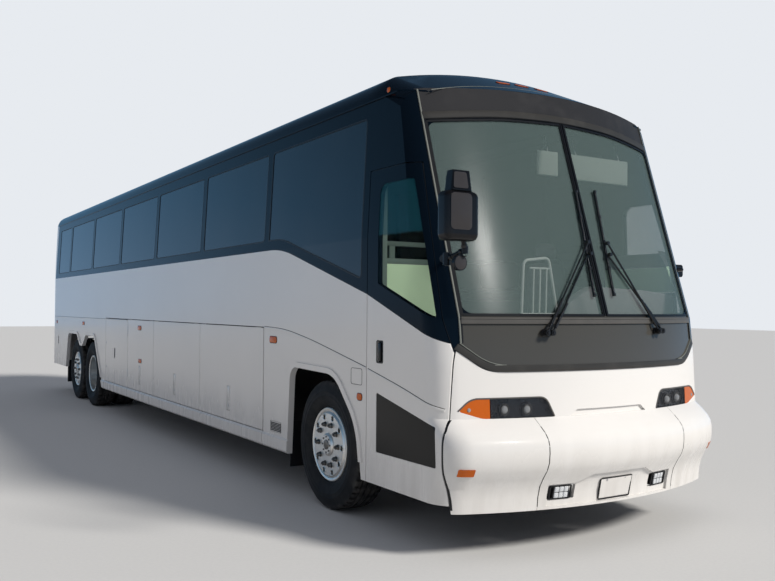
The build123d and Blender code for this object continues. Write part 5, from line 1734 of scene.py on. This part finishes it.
@dataclass
class WiperDetails:
    """Pivot caps, links, springs and rubber blades of the wipers."""

    pivots: Profile = ((-0.560, 1.485), (0.540, 1.490))
    ends: Profile = ((-0.050, 2.130), (0.150, 2.130))
    blades: tuple[tuple[float, float, float, float], ...] = (
        (-0.078, 1.745, -0.022, 2.510), (0.121, 1.752, 0.178, 2.525),
    )
    blade_steps: int = 12
    spring_shares: tuple[float, ...] = (0.06, 0.16, 0.26, 0.36)
    pitch: float = 0.042
    stand: float = 0.046

    def ahead(self, x: float, z: float, out: float) -> Vector:
        """A point at a distance before the windshield."""
        return Vector((x, FORM.nose_y(x, z) - out, z))

    def knob(self, shape: Shape, centre: Vector, axis: int, low: float, high: float, radius: float,
             sides: int) -> None:
        """Add a short rod along an axis, between two distances from a centre.

        Args:
            shape: Takes the rod.
            centre: The centre.
            axis: 1 along the bus, 2 up.
            low: Where it starts.
            high: Where it ends.
            radius: Its radius.
            sides: Facets round it.
        """
        ends = [centre.copy(), centre.copy()]
        ends[0][axis] += low
        ends[1][axis] += high
        shape.rod(*ends, radius, sides)

    def build(self) -> None:
        """Make the hardware of both wipers."""
        hardware, rubbers = Shape(), Shape()
        for (pivot_x, pivot_z), (end_x, end_z) in zip(self.pivots, self.ends):
            for step in (0, self.pitch):
                post = self.ahead(pivot_x + step, pivot_z, self.stand)
                self.knob(hardware, post, 1, 0.026, 0.040, 0.026, 20)
                self.knob(hardware, post, 1, -0.012, 0.012, 0.0205, 20)
                self.knob(hardware, post, 1, -0.020, -0.011, 0.012, 6)
                tip = self.ahead(end_x, end_z - 2 * step, self.stand)
                hardware.pipe([post.lerp(tip, share) for share in self.spring_shares], 0.011)
                self.knob(hardware, tip, 1, -0.012, 0.012, 0.014, 12)
            link = [self.ahead(pivot_x + step, pivot_z, 0.02) for step in (0, self.pitch)]
            hardware.pipe(link, 0.018, 12)
        for foot_x, foot_z, top_x, top_z in self.blades:
            points = []
            for index in range(self.blade_steps + 1):
                share = index / self.blade_steps
                x, z = foot_x + (top_x - foot_x) * share, foot_z + (top_z - foot_z) * share
                points.append(self.ahead(x, z, 0.004))
                if index % 3 == 0:
                    self.knob(hardware, self.ahead(x, z, 0.016), 2, -0.012, 0.012, 0.0135, 8)
            rubbers.pipe(points, 0.0048, 6)
        hardware.soften(0.001, 1).finish("wiper_hardware", Finishes.wiper)
        rubbers.finish("wiper_rubbers", Finishes.seal)


@dataclass
class Cabin:
    """Seats, linings and rails inside."""

    deck_z: float = 1.40
    platform_z: float = 1.12
    pedestal_folds: int = 5
    fold_tall: float = 0.045
    driver_pads: dict[str, tuple[Point, Point, float, tuple[int, int, int]]] = field(default_factory=lambda: {
        "driver_seat_cushion": ((0.385, -5.755, 1.435), (0.875, -5.255, 1.565), 0.035, (12, 12, 4)),
        "driver_seat_back": ((0.390, -5.345, 1.570), (0.870, -5.235, 2.050), 0.030, (12, 4, 14)),
        "driver_head_rest": ((0.500, -5.335, 2.060), (0.760, -5.240, 2.225), 0.030, (8, 4, 6)),
    })
    bench_front_y: float = -4.9
    bench_rear_y: float = 6.2
    bench_places: int = 18
    bench_rows: tuple[tuple[str, float, float, float, float, float], ...] = (
        ("seat", 0.785, 1.232, 1.722, 1.838, 0.8), ("back", 1.140, 1.232, 1.842, 2.138, 0.7),
    )
    partition_y: float = -5.175
    rail_spans: Profile = ((1.994, 2.040), (2.138, 2.176))
    rail_posts: Profile = ((-0.930, -0.875), (-0.490, -0.450))
    tube_y: float = -5.62
    tube_span: tuple[float, float] = (0.07, 0.46)
    tube_z: tuple[float, float, float] = (1.13, 1.60, 2.07)
    visors: tuple[tuple[float, float, float, float], ...] = (
        (0.235, 0.895, 2.67, 2.87), (-0.09, 0.12, 2.68, 2.87),
    )
    visor_rods: tuple[float, ...] = (0.32, 0.80, 0.02)
    hood: tuple[Corner, ...] = (
        (-0.06, 1.50), (1.16, 1.50), (1.16, 1.77, 0.03), (0.80, 1.80, 0.3), (0.25, 1.82, 0.06),
        (-0.02, 1.68, 0.05),
    )
    hood_y: float = -6.14
    dials: Profile = ((0.50, 0.045), (0.62, 0.055), (0.74, 0.045))
    dial_y: float = -6.079
    dial_z: float = 1.553

    def build(self) -> None:
        """Make the seats, the linings and the rails."""
        self.driver_seat()
        for side in Side:
            self.bench(side)
        self.door_view()
        self.tube_frame()
        self.sun_visors()
        self.dash_and_wall()

    def cushion(self, low: Point, high: Point, crown: float, cells: tuple[int, int, int],
                channels: int = 0) -> Shape:
        """A padded block that crowns on its faces and pulls in along its edges.

        Args:
            low: Lowest corner.
            high: Highest corner.
            crown: How far the faces stand above their edges.
            cells: Grid cells along x, y and z.
            channels: Sewn channels across y; 0 for none.

        Returns:
            The shape.
        """
        shape = Shape().brick(low, high)
        for axis, count in enumerate(cells):
            for index in range(1, count):
                shape.cut(axis, low[axis] + (high[axis] - low[axis]) * index / count)
        middle, half = (Vector(high) + Vector(low)) / 2, (Vector(high) - Vector(low)) / 2

        def puff(point: Vector) -> Vector:
            """Crown one point of the cushion.

            Args:
                point: Where the vertex is.

            Returns:
                Where it goes.
            """
            unit = [(point[axis] - middle[axis]) / half[axis] for axis in range(3)]
            moved = point.copy()
            for axis in range(3):
                edge = math.prod(1 - abs(unit[other]) ** 4 for other in range(3) if other != axis)
                if channels:
                    edge *= 0.45 + 0.55 * abs(math.sin(math.pi * channels * (unit[1] + 1) / 2)) ** 0.4
                moved[axis] -= unit[axis] * crown * (1 - edge)
            return moved

        return shape.place(puff)

    def driver_seat(self) -> None:
        """The driver's seat: pedestal with bellows, cushion, back and a head rest."""
        base = Shape().brick((0.46, -5.68, self.platform_z), (0.82, -5.37, self.platform_z + 0.06))
        for index in range(self.pedestal_folds):
            grow = 0.012 * (index % 2)
            low = self.platform_z + 0.06 + index * self.fold_tall
            base.brick((0.51 - grow, -5.65 - grow, low), (0.77 + grow, -5.40 + grow, low + self.fold_tall))
        base.brick((0.42, -5.72, self.platform_z + 0.285), (0.84, -5.34, self.platform_z + 0.32))
        base.soften(0.008).finish("driver_seat_base", Finishes.dash, replaces=["seats"])
        for name, (low, high, crown, cells) in self.driver_pads.items():
            self.upholster(self.cushion(low, high, crown, cells), name)

    def bench(self, side: Side) -> None:
        """One long bench: plinth, seats and backs with a seam at each place.

        Args:
            side: The side that it stands on.
        """
        front, rear = self.bench_front_y, self.bench_rear_y
        near_x, far_x = sorted((side.value * 0.86, side.value * 0.90))
        plinth = Shape().brick((near_x, front, self.deck_z), (far_x, rear, 1.72)).soften(0.006)
        plinth.finish(f"bench_plinth_{side.word}", Finishes.dash, replaces=["seats"])
        pitch = (rear - front) / self.bench_places
        for name, near, far, low, high, fill in self.bench_rows:
            whole = Shape()
            near_x, far_x = sorted((side.value * near, side.value * far))
            for place in range(self.bench_places):
                start = front + place * pitch
                corners = (near_x, start, low), (far_x, start + pitch, high)
                whole.join(self.cushion(*corners, 0.022, (6, 8, 4), 2))
            self.upholster(whole, f"bench_{name}_{side.word}")

    def upholster(self, shape: Shape, name: str) -> None:
        """Args:
            shape: The cushion.
            name: Its name.
        """
        piece = shape.finish(name, Finishes.leather, replaces=["seats"], smooth=75)
        rounder = piece.modifiers.new("rounder", "SUBSURF")
        rounder.levels = rounder.render_levels = 1

    def door_view(self) -> None:
        """What shows through the door glass: rails over the partition, the jamb and its post."""
        back, front = self.partition_y - 0.016, self.partition_y + 0.014
        rails = Shape()
        for low, high in self.rail_spans:
            rails.brick((-1.250, back, low), (-0.450, front, high))
        for left, right in self.rail_posts:
            rails.brick((left, back + 0.002, 2.038), (right, front - 0.002, 2.140))
        rails.soften(0.004).finish("partition_rails", Finishes.post)
        jamb = Shape().brick((-1.250, -5.458, 1.72), (-1.162, -5.436, 2.60))
        jamb.soften(0.004).finish("door_jamb_lining", Finishes.jamb)
        post = Shape().brick((-1.163, -5.456, 1.42), (-1.112, -5.434, 2.60))
        post.soften(0.004).finish("door_post_lining", Finishes.post)

    def tube_frame(self) -> None:
        """The bent tube frame beside the driver, which shows through the windshield."""
        y, (left, right), (floor, low, high) = self.tube_y, self.tube_span, self.tube_z
        loop = [(left, low), (left + 0.02, high - 0.03, 0.05), (right - 0.10, high, 0.05), (right, low)]
        frame = Shape().pipe([(p.x, y, p.y) for p in rounded(loop)], 0.012)
        for index in range(3):
            x = left + 0.12 + index * 0.07
            frame.pipe([(x, y, low), (x + 0.01, y, high - 0.09)], 0.008, 8)
        frame.pipe([(left + 0.09, y, high - 0.09), (right - 0.09, y, high - 0.09)], 0.008, 8)
        frame.pipe([(left, y, low), (right, y, low)], 0.012)
        for x in (left, right):
            frame.pipe([(x, y, floor), (x, y, low)], 0.012)
        frame.finish("seat_tube_frame", Finishes.jamb)

    def sun_visors(self) -> None:
        """Two sun visors on rods behind the windshield."""
        cloth, rods = Shape(), Shape()
        for low_x, high_x, low_z, high_z in self.visors:
            cloth.brick((low_x, -5.99, low_z), (high_x, -5.97, high_z))
        for x in self.visor_rods:
            rods.pipe([(x, -5.98, 2.86), (x, -5.93, 3.0)], 0.006, 8)
        cloth.soften(0.008, 3).finish("sun_visors", Finishes.visor_cloth)
        rods.finish("sun_visor_rods", Finishes.steel)

    def dash_and_wall(self) -> None:
        """The dashboard's hood and dials, and the lining of the wall beside the driver."""
        hood = Shape().sheet(self.hood).thicken(0.10).soften(0.012, 3)
        hood.place(upright(self.hood_y)).finish("dash_hood", Finishes.hood)
        rows = (
            ("driver_wall_trim", 1.895, 0.206, Finishes.lining),
            ("driver_wall_dark", 1.62, 0.336, Finishes.dash),
            ("driver_sill_dark", 2.06, 0.118, Finishes.dash),
        )
        for name, z, tall, finish in rows:
            panel = strip([(-6.26, z), (-5.46, z)], tall, -0.105, -0.083, FORM.on_corner(Side.LEFT), 0.04)
            panel.finish(name, finish)
        cluster = Shape()
        for x, radius in self.dials:
            ring = ((0, 0.0), (0, radius), (0.012, radius), (0.014, radius - 0.006),
                    (0.006, radius - 0.010), (0.006, 0.0))
            cluster.lathe(ring, (x, self.dial_y, self.dial_z), 28, LENGTHWAYS)
        cluster.finish("dial_rings", Finishes.chrome)


@dataclass
class Wheel:
    """One wheel's tread, nuts and hub trim; the drive axle's wheels are twins.

    A pair of sizes holds a single wheel's and then a twin's.
    """

    place: str
    side: Side
    tread_steps: int = 150
    inset: tuple[float, float] = (0.200, 0.185)
    twin_pitch: float = 0.34
    groove: float = 0.007
    groove_every: int = 3
    groove_radius: float = 0.512
    shoulder: tuple[float, float] = (0.083, 0.128)
    wall: Profile = (
        (-0.100, 0.2862), (-0.1115, 0.2875), (-0.112, 0.2985), (-0.126, 0.314), (-0.140, 0.338),
        (-0.150, 0.366), (-0.1545, 0.392), (-0.1556, 0.394), (-0.1558, 0.400), (-0.1548, 0.402),
        (-0.155, 0.425), (-0.1556, 0.428), (-0.1552, 0.433), (-0.1535, 0.436), (-0.148, 0.464),
        (-0.140, 0.490), (-0.136, 0.503), (-0.130, 0.5135), (-0.120, 0.5205), (-0.108, 0.5236),
    )
    ribs: Profile = (
        (-0.082, 0.5245), (-0.080, 0.512), (-0.071, 0.512), (-0.069, 0.5247), (-0.034, 0.5252),
        (-0.032, 0.512), (-0.023, 0.512), (-0.021, 0.5254),
    )
    disc_reach: tuple[float, float] = (0.132, -0.152)
    cap_reach: tuple[float, float] = (0.150, -0.028)
    lip_reach: float = 0.120
    bolts: int = 8
    bolt_circle: tuple[float, float] = (0.064, 0.078)
    holes: int = 10
    hole_circle: tuple[float, float] = (0.228, 0.175)
    nuts: int = 10
    nut_circle: float = 0.1675
    nut_rows: tuple[Corner, ...] = (
        (-0.001, 0.004, 0.023, 18, 0.023), (0.003, 0.026, 0.0185, 6, 0.0185),
        (0.025, 0.036, 0.010, 12, 0.009),
    )
    hub_cap: Profile = ((0, 0.0), (0, 0.040), (0.004, 0.040), (0.0055, 0.034), (0.0055, 0.0))
    rim_lip: Profile = (
        (0, 0.272), (0, 0.2965), (0.004, 0.2965), (0.007, 0.292), (0.006, 0.276), (0.003, 0.272),
    )
    hole_lip: Profile = (
        (-0.001, 0.0205), (0.002, 0.0215), (0.003, 0.0245), (0.002, 0.0275), (-0.001, 0.0285),
    )

    @property
    def twin(self) -> bool:
        """True for the drive wheels."""
        return self.place == "drive"

    @property
    def key(self) -> str:
        """The wheel's name in the CAD nodes."""
        return f"{self.place}_{self.side.word}"

    def build(self) -> None:
        """Make the tyre and the fittings of the wheel."""
        low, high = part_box(f"tyre_{self.key}")
        axle_y = (low.y + high.y) / 2
        outer_x = self.side.value * (FORM.half_width - self.inset[self.twin])
        self.tyre(outer_x, axle_y)
        self.nuts_and_hub(outer_x, axle_y)
        self.lips(outer_x, axle_y)

    def tyre(self, outer_x: float, axle_y: float) -> None:
        """Turn the tyre and cut slots into its shoulders.

        Args:
            outer_x: Middle of the outer tyre.
            axle_y: The axle's place.
        """
        half = [*self.wall, *self.ribs]
        section = half + [(-along, radius) for along, radius in reversed(half)]
        shape = Shape()
        near, far = self.shoulder
        centres = [outer_x, outer_x - self.side.value * self.twin_pitch] if self.twin else [outer_x]
        for middle_x in centres:
            faces = shape.lathe(section, (middle_x, axle_y, AXLE_Z), self.tread_steps, closed=True)
            bmesh.ops.recalc_face_normals(shape.mesh, faces=faces)
            slots = []
            for face in faces:
                centre = face.calc_center_median()
                across = abs(centre.x - middle_x)
                reach = math.hypot(centre.y - axle_y, centre.z - AXLE_Z)
                turn = math.atan2(centre.y - axle_y, centre.z - AXLE_Z) / math.tau * self.tread_steps
                on_shoulder = reach > self.groove_radius and near < across < far
                if on_shoulder and round(turn - 0.5) % self.groove_every == 0:
                    slots.append(face)
            for face in bmesh.ops.extrude_discrete_faces(shape.mesh, faces=slots)["faces"]:
                for vert in face.verts:
                    inward = Vector((0, axle_y - vert.co.y, AXLE_Z - vert.co.z)).normalized()
                    vert.co += inward * self.groove
        name = f"tyre_{self.key}"
        rubber = Tread(f"tyre_rubber_{self.place}", "tyre", (0.009, 0.009, 0.010), axle_y)
        shape.finish(f"treaded_{name}", rubber, f"wheel_{self.key}", [name], 28)

    def circle(self, count: int, radius: float, axle_y: float, first: float) -> list[tuple[float, float]]:
        """Places round the axle.

        Args:
            count: How many.
            radius: The circle's radius.
            axle_y: The axle's place.
            first: The first one's turn from the top, in steps.

        Returns:
            Their (y, z).
        """
        turns = [math.tau * (index + first) / count for index in range(count)]
        return [(axle_y + math.sin(turn) * radius, AXLE_Z + math.cos(turn) * radius) for turn in turns]

    def disc_x(self, outer_x: float) -> float:
        """Where the face of the wheel's disc stands."""
        return outer_x + self.side.value * self.disc_reach[self.twin]

    def nuts_and_hub(self, outer_x: float, axle_y: float) -> None:
        """Wheel nuts on their washers, hub bolts and the hub cap.

        Args:
            outer_x: Middle of the outer tyre.
            axle_y: The axle's place.
        """
        out, disc = self.side.value, self.disc_x(outer_x)
        shape = Shape()
        for y, z in self.circle(self.nuts, self.nut_circle, axle_y, 0.5):
            for start, end, radius, sides, tip in self.nut_rows:
                shape.rod((disc + out * start, y, z), (disc + out * end, y, z), radius, sides, tip)
        cap_x = outer_x + out * self.cap_reach[self.twin]
        for y, z in self.circle(self.bolts, self.bolt_circle[self.twin], axle_y, 0):
            shape.rod((cap_x - out * 0.001, y, z), (cap_x + out * 0.006, y, z), 0.008, 6)
        shape.lathe(flipped(self.hub_cap, out), (cap_x, axle_y, AXLE_Z), 32)
        grey = Alloy(f"wheel_fittings_{self.place}", "polished_rim", (0.20, 0.19, 0.18), axle_y)
        shape.soften(0.0008, 1).finish(f"nuts_and_hub_{self.key}", grey, f"wheel_{self.key}")

    def lips(self, outer_x: float, axle_y: float) -> None:
        """Bright lips round the rim and its hand holes.

        Args:
            outer_x: Middle of the outer tyre.
            axle_y: The axle's place.
        """
        out = self.side.value
        rims = Shape()
        lip_x = outer_x + out * self.lip_reach
        rims.lathe(flipped(self.rim_lip, out), (lip_x, axle_y, AXLE_Z), 96, closed=True)
        for y, z in self.circle(self.holes, self.hole_circle[self.twin], axle_y, 0.5):
            rims.lathe(flipped(self.hole_lip, out), (self.disc_x(outer_x), y, z), 20, closed=True)
        bright = Alloy(
            f"wheel_lip_{self.place}", "polished_rim", (0.86, 0.82, 0.76), axle_y, AXLE_Z, 0.30, 0.15,
        )
        rims.finish(f"rim_lips_{self.key}", bright, f"wheel_{self.key}")


@dataclass
class Studio:
    """The floor, the light, the background and the camera."""

    eye: Point = (-4.46889, -10.89320, 1.64308)
    yaw: float = 0.553485
    pitch: float = 0.0207186
    roll: float = 0.0076857
    focal_pixels: float = 845.621
    frame_pixels: float = 775
    sensor: float = 36
    far: float = 400
    floor_half: float = 60
    backdrop: Colour = (0.80, 0.83, 0.87)
    fill: Colour = (0.253, 0.2695, 0.308)
    sky: tuple[tuple[float, Colour], ...] = (
        (0.0, (0.34, 0.56, 0.84)), (0.16, (0.16, 0.36, 0.60)), (0.45, (0.06, 0.12, 0.20)),
        (0.9, (0.035, 0.05, 0.08)),
    )
    suns: tuple[tuple[str, Point, float, float, Colour, bool], ...] = (
        ("key", (0.40, -0.70, 0.59), 3.6, 12, (1.0, 0.955, 0.89), False),
        ("glint", (0.155, -0.805, 0.575), 0.34, 4, (1.0, 0.98, 0.94), True),
        ("door_fill", (-0.9, -0.25, 0.9), 0.12, 60, (0.86, 0.90, 1.0), False),
    )

    def build(self) -> None:
        """Make everything round the bus."""
        self.floor()
        self.world()
        self.lamps()
        self.camera()

    def floor(self) -> None:
        """A pale floor under the bus."""
        shape = Shape()
        bmesh.ops.create_grid(shape.mesh, x_segments=8, y_segments=8, size=self.floor_half)
        floor = shape.show("studio_floor")
        graph = Surface("pale_floor")
        speck = graph.noise(40, 4)
        floor.data.materials.append(graph.finish(
            Base_Color=graph.blend(speck, (0.60, 0.60, 0.60), (0.66, 0.66, 0.65)), Roughness=0.9,
            Specular_IOR_Level=0.1,
        ))

    def world(self) -> None:
        """A pale backdrop for the camera, a blue gradient for reflections and a dim fill for the rest."""
        world = bpy.data.worlds.new("studio_world")
        bpy.context.scene.world = world
        graph = Graph(world)
        path = graph.node("ShaderNodeLightPath")
        towards = graph.node("ShaderNodeTexCoord").out("Generated")
        up = graph.node("ShaderNodeSeparateXYZ", {}, {0: towards}).out("Z")
        sky = graph.node("ShaderNodeValToRGB", {"ramp": self.sky}, {"Fac": up})
        unseen = graph.blend(path.out("Is Glossy Ray"), self.fill, sky)
        seen = graph.blend(path.out("Is Camera Ray"), unseen, self.backdrop)
        light = graph.node("ShaderNodeBackground", {}, {"Color": seen})
        graph.node("ShaderNodeOutputWorld", {}, {"Surface": light})

    def lamps(self) -> None:
        """A warm key from the front left that isn't mirrored, a small glint beside it, and a dim fill."""
        for name, towards, strength, angle, colour, glossy in self.suns:
            data = bpy.data.lights.new(name, "SUN")
            data.energy, data.angle, data.color = strength, math.radians(angle), colour
            lamp = bpy.data.objects.new(name, data)
            lamp.rotation_euler = Vector(towards).to_track_quat("Z", "Y").to_euler()
            lamp.visible_glossy, lamp.visible_diffuse = glossy, not glossy
            bpy.context.scene.collection.objects.link(lamp)

    def camera(self) -> None:
        """The camera at the photograph's angle."""
        ahead = Vector((math.sin(self.yaw) * math.cos(self.pitch), math.cos(self.yaw) * math.cos(self.pitch),
                        math.sin(self.pitch)))
        level = Vector((math.cos(self.yaw), -math.sin(self.yaw), 0))
        above = level.cross(ahead)
        right = math.cos(self.roll) * level + math.sin(self.roll) * above
        up = math.cos(self.roll) * above - math.sin(self.roll) * level
        data = bpy.data.cameras.new("camera")
        data.sensor_width, data.clip_end = self.sensor, self.far
        data.lens = self.focal_pixels * self.sensor / self.frame_pixels
        camera = bpy.data.objects.new("camera", data)
        turn = Matrix((right, up, -ahead)).transposed().to_4x4()
        camera.matrix_world = Matrix.Translation(self.eye) @ turn
        scene = bpy.context.scene
        scene.collection.objects.link(camera)
        scene.camera = camera
        scene.view_settings.view_transform = "Standard"


def main() -> None:
    """Build every class in order."""
    logging.basicConfig(level=logging.INFO, format="%(name)s: %(message)s")
    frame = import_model()
    Coachwork().dress(frame["nodes"])
    for assembly in (Glazing(), HeadLamps(), MarkerLamps(), Fittings(), Mirrors(), WiperDetails(), Cabin()):
        assembly.build()
        LOG.info("%s done", type(assembly).__name__)
    for side in Side:
        for place in ("front", "drive", "tag"):
            Wheel(place, side).build()
    Studio().build()


if __name__ == "__main__":
    main()
